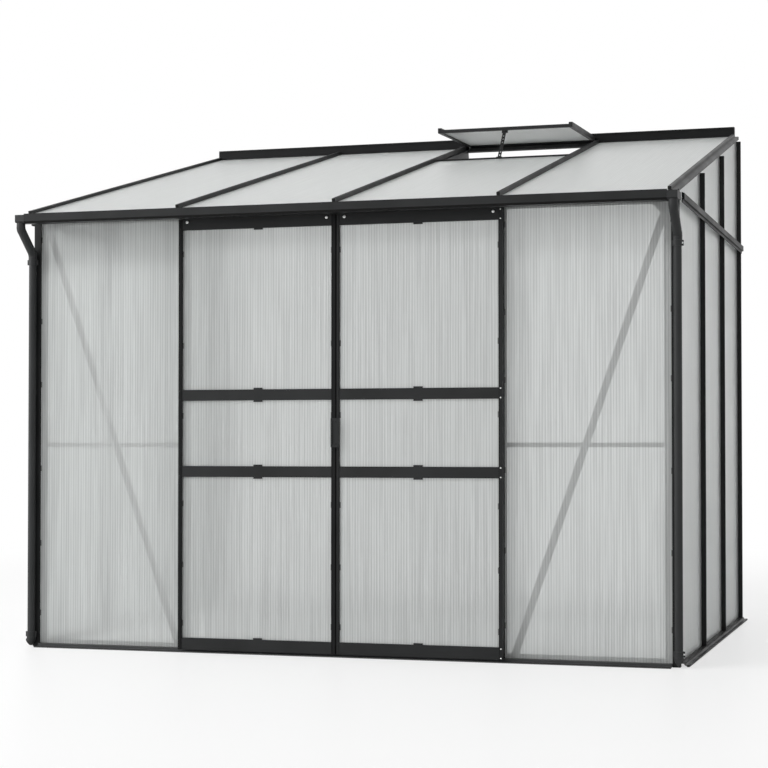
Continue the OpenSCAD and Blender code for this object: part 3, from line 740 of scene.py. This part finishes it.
@dataclass(frozen=True)
class AngleBracket:
    """Small angle that ties the foot of a bar to the base rail."""

    foot: float = 20.0
    leg: float = 34.0
    width: float = 14.0
    thickness: float = 2.0
    fillet: float = 1.5
    leg_nut: float = 22.0
    foot_nut: float = 13.0

    def model(self) -> bpy.types.Object:
        """Models one with its foot along +X, its leg up and its width along +Y.

        Returns:
            The bracket.
        """
        t, corner = self.thickness, self.thickness + self.fillet
        foot = [(0.0, 0.0), (self.foot, 0.0), (self.foot, t), (corner, t)]
        leg = [(t, corner), (t, self.leg), (0.0, self.leg)]
        bracket = prism(foot + leg, self.width)
        bracket.data.transform(Facing.FRONT.value)
        bracket.data.transform(place((0.0, self.width, 0.0)))
        soften(bracket, 0.4, segments=1)
        return bracket


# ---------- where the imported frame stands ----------


def box(node: str) -> tuple[Vector, Vector]:
    """Gives a node's two corners in millimetres."""
    low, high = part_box(node)
    return low / MM, high / MM


@dataclass(frozen=True)
class Site:
    """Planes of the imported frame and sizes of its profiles, in millimetres.

    Attributes:
        glass: y of the inner face of the front sheets.
        jamb: x of the middle of the right door jamb.
        post: x of the inner side of the right corner post.
        bars: y of the middles of the two gable bars.
        web_in: x of the inner edge of the right gable bars' webs.
        eave: z of the gutter's rim.
        beam: z of the eave beam's underside.
        core_half: Half of a bar's core.
        flange_half: Half of the flange behind the sheets.
        post_w: Side of a corner post.
        beam_lip: How far the eave beam's lip hangs below it.
    """

    glass: float
    jamb: float
    post: float
    bars: Pair
    web_in: float
    eave: float
    beam: float
    core_half: float = 6.0
    flange_half: float = 15.0
    post_w: float = 27.0
    beam_lip: float = 8.0

    @classmethod
    def measure(cls) -> "Site":
        """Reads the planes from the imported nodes.

        Returns:
            The site.
        """
        jambs, bars = box("door_jambs"), box("right_gable_bars")
        return cls(
            glass=box("front_sheets")[1].y,
            jamb=jambs[1].x - cls.flange_half,
            post=box("right_corner_post")[1].x - cls.post_w,
            bars=(bars[0].y + cls.flange_half, bars[1].y - cls.flange_half),
            web_in=bars[0].x,
            eave=box("gutter")[1].z,
            beam=box("eave_beam")[0].z + cls.beam_lip,
        )


# ---------- sub-assemblies ----------


@dataclass
class Doors:
    """Screws, sheet clips, seal, pull and track stops of the two sliding leaves."""

    finishes: Finishes
    top_screw: PanHead = PanHead(5.8, 2.8)
    stile_screw: PanHead = PanHead(2.7, 1.4)
    pull_screw: PanHead = PanHead(3.2, 1.5)
    clip: SheetClip = SheetClip()
    top_screw_in: float = 19.0
    top_screw_down: float = 12.0
    stile_screw_in: float = 7.0
    pair_gap: float = 17.0
    clip_heights: tuple[float, ...] = (1503.0, 1156.0, 891.0, 560.0, 330.0, 110.0)
    rail_axes: tuple[float, ...] = (32.5, 681.0, 968.0, 1614.5)
    bulb_short: float = 2.0
    ridge_in: Pair = (3.5, 9.0)
    pull_screw_in: Pair = (3.0, 14.0)
    track_w: float = 32.0
    track_wall: float = 2.2
    stop_in: float = 4.0
    stop_length: float = 20.0
    stop_height: float = 17.0
    stop_cut: Pair = (4.0, 5.0)

    def screws(self, side: Body) -> None:
        """Puts a screw near each end of a leaf's top rail, and pairs up its outer stile.

        Args:
            side: The leaf.
        """
        name, front = side.value, Facing.FRONT.value
        low, high = box(f"{name}_rails")
        xs = (low.x + self.top_screw_in, high.x - self.top_screw_in)
        spots = [(x, low.y, high.z - self.top_screw_down) for x in xs]
        heads = row(self.top_screw.model(), f"{name}_rail_screws", spots, front)
        fit(heads, self.finishes.zinc, side)
        low, high = box(f"{name}_stiles")
        outer = high.x - self.stile_screw_in if side is Body.RIGHT else low.x + self.stile_screw_in
        levels = [z + gap for z in self.rail_axes for gap in (-self.pair_gap, self.pair_gap)]
        spots = [(outer, low.y, z) for z in levels]
        small = row(self.stile_screw.model(), f"{name}_stile_screws", spots, front)
        fit(small, self.finishes.zinc if side is Body.RIGHT else self.finishes.nylon, side)

    def clips(self, side: Body) -> None:
        """Sets sheet clips along both stiles of a leaf.

        Args:
            side: The leaf.
        """
        rails, sheets = box(f"{side.value}_rails"), box(f"{side.value}_sheets")
        half = self.clip.width / 2.0
        xs = (rails[0].x + half, rails[1].x - half)
        spots = [(x, sheets[0].y, z) for x in xs for z in self.clip_heights]
        clips = row(self.clip.model(), f"{side.value}_sheet_clips", spots)
        fit(clips, self.finishes.spring, side)

    def meeting_seal(self) -> None:
        """Runs a rubber bulb down the left leaf's meeting edge, short of the right leaf."""
        low, high = box("left_door_stiles")
        front_half = [(-0.3, -5.0), (0.8, -5.0), (2.2, -3.4), (3.6, -1.2)]
        back_half = [(u, -v) for u, v in reversed(front_half)]
        seal = prism(front_half + back_half, high.z - low.z - 2.0 * self.bulb_short)
        seal.data.transform(place((high.x, (low.y + high.y) / 2.0, low.z + self.bulb_short)))
        seal.name = "meeting_seal"
        soften(seal, 0.4, angle=15.0)
        fit(seal, self.finishes.rubber, Body.LEFT)

    def pull(self) -> None:
        """Adds the finger ridge and the two screws of the pull plate."""
        low, high = box("left_door_pull")
        across, inset = self.ridge_in
        wide, proud, shoulder, crown, sunk = 5.0, 3.2, 1.2, 1.6, 0.3
        left = [(0.0, sunk), (0.0, -shoulder), (crown, -proud)]
        right = [(wide - u, v) for u, v in reversed(left)]
        ridge = prism(left + right, high.z - low.z - 2.0 * inset)
        ridge.data.transform(place((low.x + across, low.y, low.z + inset)))
        ridge.name = "pull_ridge"
        soften(ridge, 0.5, angle=20.0)
        fit(ridge, self.finishes.coat, Body.LEFT)
        beside, inset = self.pull_screw_in
        spots = [((low.x + high.x) / 2.0 + beside, low.y, z) for z in (low.z + inset, high.z - inset)]
        heads = row(self.pull_screw.model(), "pull_screws", spots, Facing.FRONT.value)
        fit(heads, self.finishes.nylon, Body.LEFT)

    def track_stops(self) -> None:
        """Plugs both ends of the track with a rubber stop."""
        low, high = box("door_track")
        wall = self.track_wall
        size = (self.track_w - 2.0 * wall, self.stop_height)
        stop = prism(cut_corners((0.0, 0.0), size, self.stop_cut), self.stop_length)
        soften(stop, 0.8)
        xs = (low.x + self.stop_in, high.x - self.stop_in - self.stop_length)
        stops = row(stop, "track_stops", ((x, low.y + wall, low.z + wall) for x in xs), LYING_X)
        fit(stops, self.finishes.rubber, Body.FRAME)

    def build(self) -> None:
        """Dresses both leaves and the track."""
        for side in (Body.LEFT, Body.RIGHT):
            self.screws(side)
            self.clips(side)
        self.meeting_seal()
        self.pull()
        self.track_stops()


@dataclass
class Walls:
    """Clips, rivets, nuts, brackets, trims and seals of the fixed bays, the gables and the base."""

    site: Site
    finishes: Finishes
    clip: SheetClip = SheetClip()
    rivet: PanHead = PanHead(3.6, 0.2)
    nut: NutAndBolt = NutAndBolt()
    foot_nut: NutAndBolt = NutAndBolt(7.5)
    bracket: AngleBracket = AngleBracket()
    clip_heights: tuple[float, ...] = (1580.0, 1262.0, 1016.0, 690.0, 400.0, 130.0)
    mid_rail_z: float = 781.0
    rivet_in: float = 8.0
    rivet_back: float = 0.28
    rivet_drops: Pair = (30.0, 110.0)
    plate_face: float = 4.8
    brace_face: float = 15.1
    brace_foot: Pair = (652.0, 7.3)
    brace_head: Pair = (1200.0, 1602.0)
    brace_nuts: Pair = (30.0, 24.0)
    brace_nut_gap: float = 7.5
    rail_nuts: Pair = (20.0, 14.0)
    gusset_nuts: tuple[Pair, ...] = ((14.0, 26.0), (52.0, 18.0), (12.0, 112.0))
    bracket_gap: float = 0.2
    bracket_in: float = 3.0
    base_foot: float = 2.0
    trim_size: Pair = (2.0, 7.0)
    trim_cut: float = 0.6
    trim_z: float = 22.2
    seal_half: float = 6.2
    seal_in: float = 6.5
    seal_z: float = 31.0
    seal_short: float = 40.0
    bead_half: float = 5.0
    bead_z: float = 4.0

    def clips(self) -> None:
        """Sets sheet clips along both edges of each fixed front bay."""
        half = self.clip.width / 2.0
        xs = (self.site.jamb + self.site.core_half + half + SEAL, self.site.post - half)
        y = box("front_sheets")[0].y
        spots = [(hand.value * x, y, z) for hand in Hand for x in xs for z in self.clip_heights]
        clips = row(self.clip.model(), "bay_sheet_clips", spots)
        fit(clips, self.finishes.spring)

    def rivets(self) -> None:
        """Sets flat rivets where the gussets and middle rails meet the posts' flanges."""
        x, y = self.site.post - self.rivet_in, self.site.glass + self.rivet_back
        levels = (self.mid_rail_z, *(self.site.beam - drop for drop in self.rivet_drops))
        spots = [(hand.value * x, y, z) for hand in Hand for z in levels]
        rivets = row(self.rivet.model(), "flange_rivets", spots, Facing.FRONT.value)
        fit(rivets, self.finishes.zinc)

    def nuts(self) -> None:
        """Bolts the middle rails, gussets and braces together on the inside."""
        site, foot, head = self.site, self.brace_foot, self.brace_head
        from_jamb, from_post = self.rail_nuts
        plate, brace = site.glass + self.plate_face, site.glass + self.brace_face
        spots = [(x, plate, self.mid_rail_z) for x in (site.jamb + from_jamb, site.post - from_post)]
        spots += [(site.post - across, plate, site.beam - down) for across, down in self.gusset_nuts]
        run = Vector((head[0] - foot[0], head[1] - foot[1])).normalized()
        for end in (Vector(foot) + run * self.brace_nuts[0], Vector(head) - run * self.brace_nuts[1]):
            for gap in (-self.brace_nut_gap, self.brace_nut_gap):
                spots.append((end.x + gap * run.y, brace, end.y - gap * run.x))
        both = [(hand.value * x, y, z) for hand in Hand for x, y, z in spots]
        nuts = row(self.nut.model(), "frame_nuts", both, Facing.BACK.value)
        fit(nuts, self.finishes.steel)

    def feet(self) -> None:
        """Ties the feet of the gable bars to the base rails with angles and nuts."""
        site, bracket = self.site, self.bracket
        x, base = site.web_in + self.bracket_in, self.base_foot
        bars = [(hand, y + site.core_half) for hand in Hand for y in site.bars]
        # Once turned, a bracket's width runs along -X, so the right ones start a width further out.
        shift = {Hand.LEFT: 0.0, Hand.RIGHT: bracket.width}
        spots = [(hand.value * x + shift[hand], y + self.bracket_gap, base) for hand, y in bars]
        brackets = row(bracket.model(), "foot_brackets", spots, Matrix.Rotation(QUARTER_TURN, 4, "Z"))
        fit(brackets, self.finishes.steel)
        moves = []
        for hand, y in bars:
            middle = hand.value * (x + bracket.width / 2.0)
            face = y + bracket.thickness + self.bracket_gap
            moves.append(place((middle, face, base + bracket.leg_nut), Facing.BACK.value))
            moves.append(place((middle, y + bracket.foot_nut, base + bracket.thickness)))
        fit(copies(self.foot_nut.model(), "foot_nuts", moves), self.finishes.zinc)

    def foot_trim(self, hand: Hand) -> None:
        """Sets a trim strip behind the foot of a fixed bay's sheet.

        Args:
            hand: The bay's end of the front.
        """
        flange = self.site.flange_half + SEAL
        inner, outer = self.site.jamb + flange, self.site.post - flange
        outline = cut_corners((0.0, 0.0), self.trim_size, (self.trim_cut, self.trim_cut))
        trim = prism(outline, outer - inner)
        start = inner if hand is Hand.RIGHT else -outer
        trim.data.transform(place((start, self.site.glass + SEAL, self.trim_z), LYING_X))
        trim.name = f"{hand.word}_foot_trim"
        soften(trim, 0.3, segments=1)
        fit(trim, self.finishes.coat)

    def post_seal_shade(self, hand: Hand) -> None:
        """Runs a rubber seal up beside a corner post's flange, whose dark band through the sheet is also
        painted shade along the flange.

        Args:
            hand: The post's end of the front.
        """
        x = hand.value * (self.site.post - self.site.flange_half - SEAL - self.seal_in)
        # Seen through the sheet, the black seal also serves as painted shade beside the post's flange.
        outline = crowned(x, self.seal_half, shoulder=(0.0, 1.2), crown=2.0)
        seal = prism(outline, self.site.beam - self.seal_short)
        seal.data.transform(place((0.0, self.site.glass + SEAL, self.seal_z)))
        seal.name = f"{hand.word}_post_seal_shade"
        soften(seal, 0.3, segments=1, angle=20.0)
        fit(seal, self.finishes.rubber)

    def lip(self) -> None:
        """Lays a black rubber strip over the bead of the front base rail, as painted shade for the shadow gap
        along the rail's foot.
        """
        low, high = box("front_base_rail")
        outline = crowned(self.bead_half, self.bead_half, shoulder=(0.6, 0.9), crown=1.3)
        # Its black stands in for the shadow gap along the rail's foot: painted shade.
        strip = prism(outline, high.x - low.x)
        strip.data.transform(place((low.x, low.y, self.bead_z), LYING_X))
        strip.name = "base_shadow_strip"
        soften(strip, 0.3, segments=1, angle=20.0)
        fit(strip, self.finishes.rubber)

    def build(self) -> None:
        """Dresses the walls and the base."""
        self.clips()
        self.rivets()
        self.nuts()
        self.feet()
        for hand in Hand:
            self.foot_trim(hand)
            self.post_seal_shade(hand)
        self.lip()


@dataclass
class Roof:
    """End caps of the roof bars, rafters and wall plate."""

    site: Site
    finishes: Finishes
    angle: float = 14.1
    lift: float = 4.5
    rib: float = 15.5
    jamb_in: float = 5.0
    bar_half: float = 6.3
    bar_cap: float = 2.2
    bar_cap_foot: float = 3.8
    bar_cap_proud: float = 0.3
    bar_cap_cut: float = 2.0
    rafter_rib: Pair = (13.0, 12.5)
    rafter_foot: float = 9.6
    rafter_ledge: Pair = (-2.8, 1.2)
    rafter_cap: float = 1.8
    rafter_cap_proud: float = 0.2
    plate_cap: float = 1.6
    plate_foot: float = 1.4

    def __post_init__(self) -> None:
        """Finds the line of the roof's front edge."""
        self.turn = Matrix.Rotation(math.radians(self.angle), 4, "X")
        self.edge_y = box("roof_bars")[0].y + self.rib * math.sin(math.radians(self.angle))
        self.edge_z = self.site.eave + self.lift

    def height(self, y: float) -> float:
        """Gives the height of the roof's surface at a y."""
        return self.edge_z + (y - self.edge_y) * math.tan(math.radians(self.angle))

    def at_edge(self, x: float, thickness: float) -> Matrix:
        """Gives the move that lays a cap on the slope and up against the front edge of the roof.

        Args:
            x: Where the cap goes along the edge.
            thickness: The cap's thickness, which stands out of the edge.

        Returns:
            The whole move.
        """
        edge = place((x, self.edge_y, self.edge_z))
        return edge @ self.turn @ place((0.0, -thickness, 0.0), LYING_Y)

    def bar_caps(self) -> None:
        """Caps the front ends of the roof bars."""
        half, top = self.bar_half, self.rib + self.bar_cap_proud
        outline = cut_corners((-half, -self.bar_cap_foot), (half, top), (self.bar_cap_cut, self.bar_cap_cut))
        cap = prism(outline, self.bar_cap)
        soften(cap, 0.7)
        bay = self.site.jamb + self.jamb_in
        caps = copies(cap, "roof_bar_caps", (self.at_edge(x, self.bar_cap) for x in (-bay, 0.0, bay)))
        fit(caps, self.finishes.nylon)

    def rafter_caps(self) -> None:
        """Caps the front ends of the end rafters."""
        proud = self.rafter_cap_proud
        rib_x, rib_top = (size + proud for size in self.rafter_rib)
        inner, outer = -proud, self.site.post_w + proud
        flank = [(inner, -self.rafter_foot), (outer, -self.rafter_foot), (outer, self.rafter_ledge[0])]
        points = flank + [(rib_x, self.rafter_ledge[1]), (rib_x, rib_top), (inner, rib_top)]
        for hand in Hand:
            cap = prism([(-hand.value * (self.site.post + u), v) for u, v in points], self.rafter_cap)
            soften(cap, 0.6)
            cap.name = f"{hand.word}_rafter_cap"
            cap.data.transform(self.at_edge(0.0, self.rafter_cap))
            fit(cap, self.finishes.nylon)

    def plate_caps(self) -> None:
        """Closes the two ends of the wall plate."""
        low, high = box("wall_plate")
        foot = [(y, self.height(y) + self.plate_foot) for y in (low.y, high.y)]
        cap = prism(foot + [(high.y, high.z), (low.y, high.z)], self.plate_cap)
        soften(cap, 0.5)
        spots = ((x, 0.0, 0.0) for x in (low.x - self.plate_cap, high.x))
        fit(row(cap, "wall_plate_caps", spots, LYING_X), self.finishes.nylon)

    def build(self) -> None:
        """Dresses the roof."""
        self.bar_caps()
        self.rafter_caps()
        self.plate_caps()


@dataclass
class Vent:
    """Hinge blocks and stay pins of the roof vent."""

    roof: Roof
    finishes: Finishes
    block: Point = (14.0, 9.0, 6.6)
    block_cut: Pair = (3.0, 0.4)
    block_in: float = 1.0
    block_lift: float = 0.4
    plate_wall: float = 2.0
    hinge_screw: PanHead = PanHead(3.1, 1.8)
    pin: PanHead = PanHead(3.4, 2.0)
    pin_in: float = 13.5
    pin_back: float = 1.0
    pin_out: float = 3.5
    sash_pin_down: float = 5.0
    sill_pin_up: float = 7.0

    def hinge(self) -> None:
        """Seats a hinge block and its screw at each end of the sash's head."""
        sash, plate = box("vent_sash"), box("wall_plate")
        wide, deep, tall = self.block
        crown = self.block_cut[1]
        y = plate[0].y - deep - crown
        z = self.roof.height(plate[0].y + self.plate_wall) + self.block_lift
        xs = (sash[0].x + self.block_in, sash[1].x - self.block_in - wide)
        block = prism(cut_corners((0.0, 0.0), (wide, deep + crown), self.block_cut), tall)
        soften(block, 0.8)
        blocks = row(block, "hinge_blocks", ((x, y, z) for x in xs))
        fit(blocks, self.finishes.nylon)
        spots = [(x + wide / 2.0, y, z + tall / 2.0) for x in xs]
        screws = row(self.hinge_screw.model(), "hinge_screws", spots, Facing.FRONT.value)
        fit(screws, self.finishes.zinc)

    def stay_pins(self) -> None:
        """Pins the stay to the sash and to the sill."""
        low, high = box("vent_stay")
        sash = (high.x - self.pin_in, high.y - self.pin_back, high.z - self.sash_pin_down)
        sill = (low.x + self.pin_in, low.y + self.pin_back, low.z + self.sill_pin_up)
        spots = [(x, y - self.pin_out, z) for x, y, z in (sash, sill)]
        pins = row(self.pin.model(), "stay_pins", spots, Facing.FRONT.value)
        fit(pins, self.finishes.nylon)

    def build(self) -> None:
        """Dresses the vent."""
        self.hinge()
        self.stay_pins()


@dataclass
class Rainwater:
    """Drip edge of the gutter and screws of the pipe clips."""

    finishes: Finishes
    head: PanHead = PanHead(3.6, 1.8)
    lug: float = 17.4
    lug_front: float = 3.0
    clip_half: float = 10.0
    pipe_r: float = 14.5
    chamfer: float = 7.0

    def drip_edge(self) -> None:
        """Lays a black drip edge over the chamfer along the gutter's foot."""
        low, high = box("gutter")
        foot, skin, lap, nick, run, sunk = self.chamfer, 0.05, 0.35, 0.3, 4.0, 0.2
        outside = [(skin, foot + 2.0 * sunk), (skin, foot - nick), (foot - nick, -lap), (foot + run, -lap)]
        inside = [(foot + run, sunk), (foot, sunk), (2.0 * sunk, foot + sunk)]
        edge = prism(outside + inside, high.x - low.x)
        edge.data.transform(place((low.x, low.y, low.z), LYING_X))
        edge.name = "gutter_drip_edge"
        fit(edge, self.finishes.rubber)

    def clip_screws(self) -> None:
        """Puts a screw in the outer lug of each pipe clip."""
        low, high = box("pipe_clips")
        pipes = box("downpipes")
        x = pipes[1].x - self.pipe_r + self.lug
        y = (pipes[0].y + pipes[1].y) / 2.0 - self.lug_front
        levels = (high.z - self.clip_half, low.z + self.clip_half)
        for hand, finish in ((Hand.LEFT, self.finishes.nylon), (Hand.RIGHT, self.finishes.zinc)):
            spots = [(hand.value * x, y, z) for z in levels]
            screws = row(self.head.model(), f"{hand.word}_clip_screws", spots, Facing.FRONT.value)
            fit(screws, finish, Body.FRAME)

    def build(self) -> None:
        """Dresses the gutter and the pipes."""
        self.drip_edge()
        self.clip_screws()


# ---------- studio ----------


@dataclass(frozen=True)
class Lamp:
    """A square lamp: where it hangs and its side, in metres, and its power in watts."""

    name: str
    spot: Point
    size: float
    power: float


@dataclass
class Studio:
    """Camera, lamps, floor and white surroundings."""

    eye: Point = (2.2085, -7.5508, 0.7818)
    pitch: float = 1.362
    yaw: float = 16.67
    lens: float = 88.77
    shift: Pair = (-0.0141, 0.0204)
    sky: float = 0.57
    floor_size: float = 80.0
    floor_drop: float = 0.0006
    floor_glow: float = 0.6
    floor_fade: Pair = (1.5, 7.0)
    aim: Point = (0.0, -0.4, 1.1)
    lamps: tuple[Lamp, ...] = (
        Lamp("key", (-3.5, -6.2, 7.8), 1.4, 190.0),
        Lamp("side", (-5.6, -3.4, 3.2), 4.0, 265.0),
        Lamp("top", (0.0, 0.5, 7.0), 7.0, 50.0),
    )

    def camera(self) -> None:
        """Adds the camera."""
        turn = (math.radians(90.0 + self.pitch), 0.0, math.radians(self.yaw))
        bpy.ops.object.camera_add(location=self.eye, rotation=turn)
        camera = bpy.context.object
        camera.name = "camera"
        camera.data.lens = self.lens
        camera.data.sensor_width = 36.0
        camera.data.shift_x, camera.data.shift_y = self.shift
        camera.data.clip_end = 200.0
        bpy.context.scene.camera = camera

    def world(self) -> None:
        """Lights the set from all round and shows white to the camera, in gloss and through the sheets."""
        world = bpy.data.worlds.new("studio")
        bpy.context.scene.world = world
        nodes = Nodes(world)
        back = nodes.tree.nodes["Background"]
        back.inputs["Color"].default_value = (1.0, 1.0, 1.0, 1.0)
        path = nodes.node("LightPath").outputs
        seen = path["Is Camera Ray"]
        for ray in ("Is Transmission Ray", "Is Glossy Ray"):
            seen = nodes.maths("MAXIMUM", seen, path[ray])
        nodes.wire(nodes.ramp(seen, (0.0, 1.0), (self.sky, 1.0)), back.inputs["Strength"])

    def floor(self) -> None:
        """Lays the pale floor, which glows more the further out it is and keeps the soft shadow."""
        deselect()
        bpy.ops.mesh.primitive_plane_add(size=self.floor_size, location=(0.0, 0.0, -self.floor_drop))
        floor = bpy.context.object
        floor.name = "floor"
        bpy.ops.object.transform_apply(location=True, rotation=True, scale=True)
        nodes = Surface("floor_pale")
        nodes.constants(Roughness=0.4, Specular_IOR_Level=0.4)
        nodes.shader.inputs["Base Color"].default_value = (0.9, 0.9, 0.9, 1.0)
        away = nodes.node("VectorMath")
        away.operation = "LENGTH"
        nodes.wire(nodes.coords, away.inputs[0])
        fade = nodes.ramp(away.outputs["Value"], self.floor_fade, (self.floor_glow, 1.0), "SMOOTHSTEP")
        path = nodes.node("LightPath").outputs
        seen = nodes.maths("MAXIMUM", path["Is Camera Ray"], path["Is Transmission Ray"])
        blend = nodes.node("MixShader")
        nodes.wire(nodes.maths("MULTIPLY", seen, fade), blend.inputs[0])
        nodes.wire(nodes.shader.outputs[0], blend.inputs[1])
        nodes.wire(nodes.node("Emission").outputs[0], blend.inputs[2])
        nodes.wire(blend.outputs[0], nodes.tree.nodes["Material Output"].inputs["Surface"])
        floor.data.materials.append(nodes.material)

    def light(self) -> None:
        """Hangs the lamps, turned to the middle of the front."""
        for lamp in self.lamps:
            turn = (Vector(self.aim) - Vector(lamp.spot)).to_track_quat("-Z", "Y").to_euler()
            bpy.ops.object.light_add(type="AREA", location=lamp.spot, rotation=turn)
            light = bpy.context.object
            light.name = lamp.name
            light.data.size = lamp.size
            light.data.energy = lamp.power

    def build(self) -> None:
        """Sets up the whole studio."""
        bpy.context.scene.view_settings.view_transform = "Standard"
        self.camera()
        self.world()
        self.floor()
        self.light()


# ---------- finishes of the imported nodes ----------

# These nodes take the darker copies of the coat as painted shade; the left door stiles take the deeper one
# and the right door stiles the lighter one.
PAINTED_SHADE_NODES = frozenset({
    "left_corner_post", "right_corner_post", "door_jambs", "left_gable_bars", "right_gable_bars",
    "left_wall_post", "right_wall_post", "right_door_stiles", "vent_stay", "door_track",
    "left_door_hangers", "right_door_hangers",
})
PAINTED_DEEP_SHADE_NODES = frozenset({
    "left_door_stiles", "wall_plate", "left_base_rail", "right_base_rail", "gable_eave_bars",
})
PIPE_NODES = frozenset({"gutter_outlets", "pipe_elbows", "downpipes", "pipe_clips", "pipe_shoes"})
ROOF_SHEETS = frozenset({"roof_sheets", "vent_sheet"})


def finish_of(name: str, finishes: Finishes) -> bpy.types.Material:
    """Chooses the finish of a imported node.

    Args:
        name: The node's name.
        finishes: The built finishes.

    Returns:
        Its material.
    """
    if "gable_sheets" in name:
        return finishes.gable
    if "door_sheets" in name:
        return finishes.door
    if name in ROOF_SHEETS:
        return finishes.roof
    if "sheets" in name:
        return finishes.front
    if name in PIPE_NODES:
        return finishes.plastic
    if name in PAINTED_DEEP_SHADE_NODES:
        return finishes.coat_stiles_painted_deep_shade
    if name in PAINTED_SHADE_NODES:
        return finishes.coat_bars_painted_shade
    return finishes.coat_sill_painted_light if name == "front_base_rail" else finishes.coat


def dress_nodes(nodes: dict[str, bpy.types.Object], finishes: Finishes) -> None:
    """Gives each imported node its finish.

    Args:
        nodes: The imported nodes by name.
        finishes: The built finishes.
    """
    for name, node in nodes.items():
        finish = finish_of(name, finishes)
        for slot in node.material_slots:
            slot.material = finish
        log.info("%s: %s", name, finish.name)


def main() -> None:
    """Builds the scene."""
    logging.basicConfig(level=logging.INFO)
    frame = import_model()
    deselect()
    Studio().build()
    finishes = Finishes()
    dress_nodes(frame["nodes"], finishes)
    site = Site.measure()
    roof = Roof(site, finishes)
    for part in (Doors(finishes), Walls(site, finishes), roof, Vent(roof, finishes), Rainwater(finishes)):
        part.build()


if __name__ == "__main__":
    main()
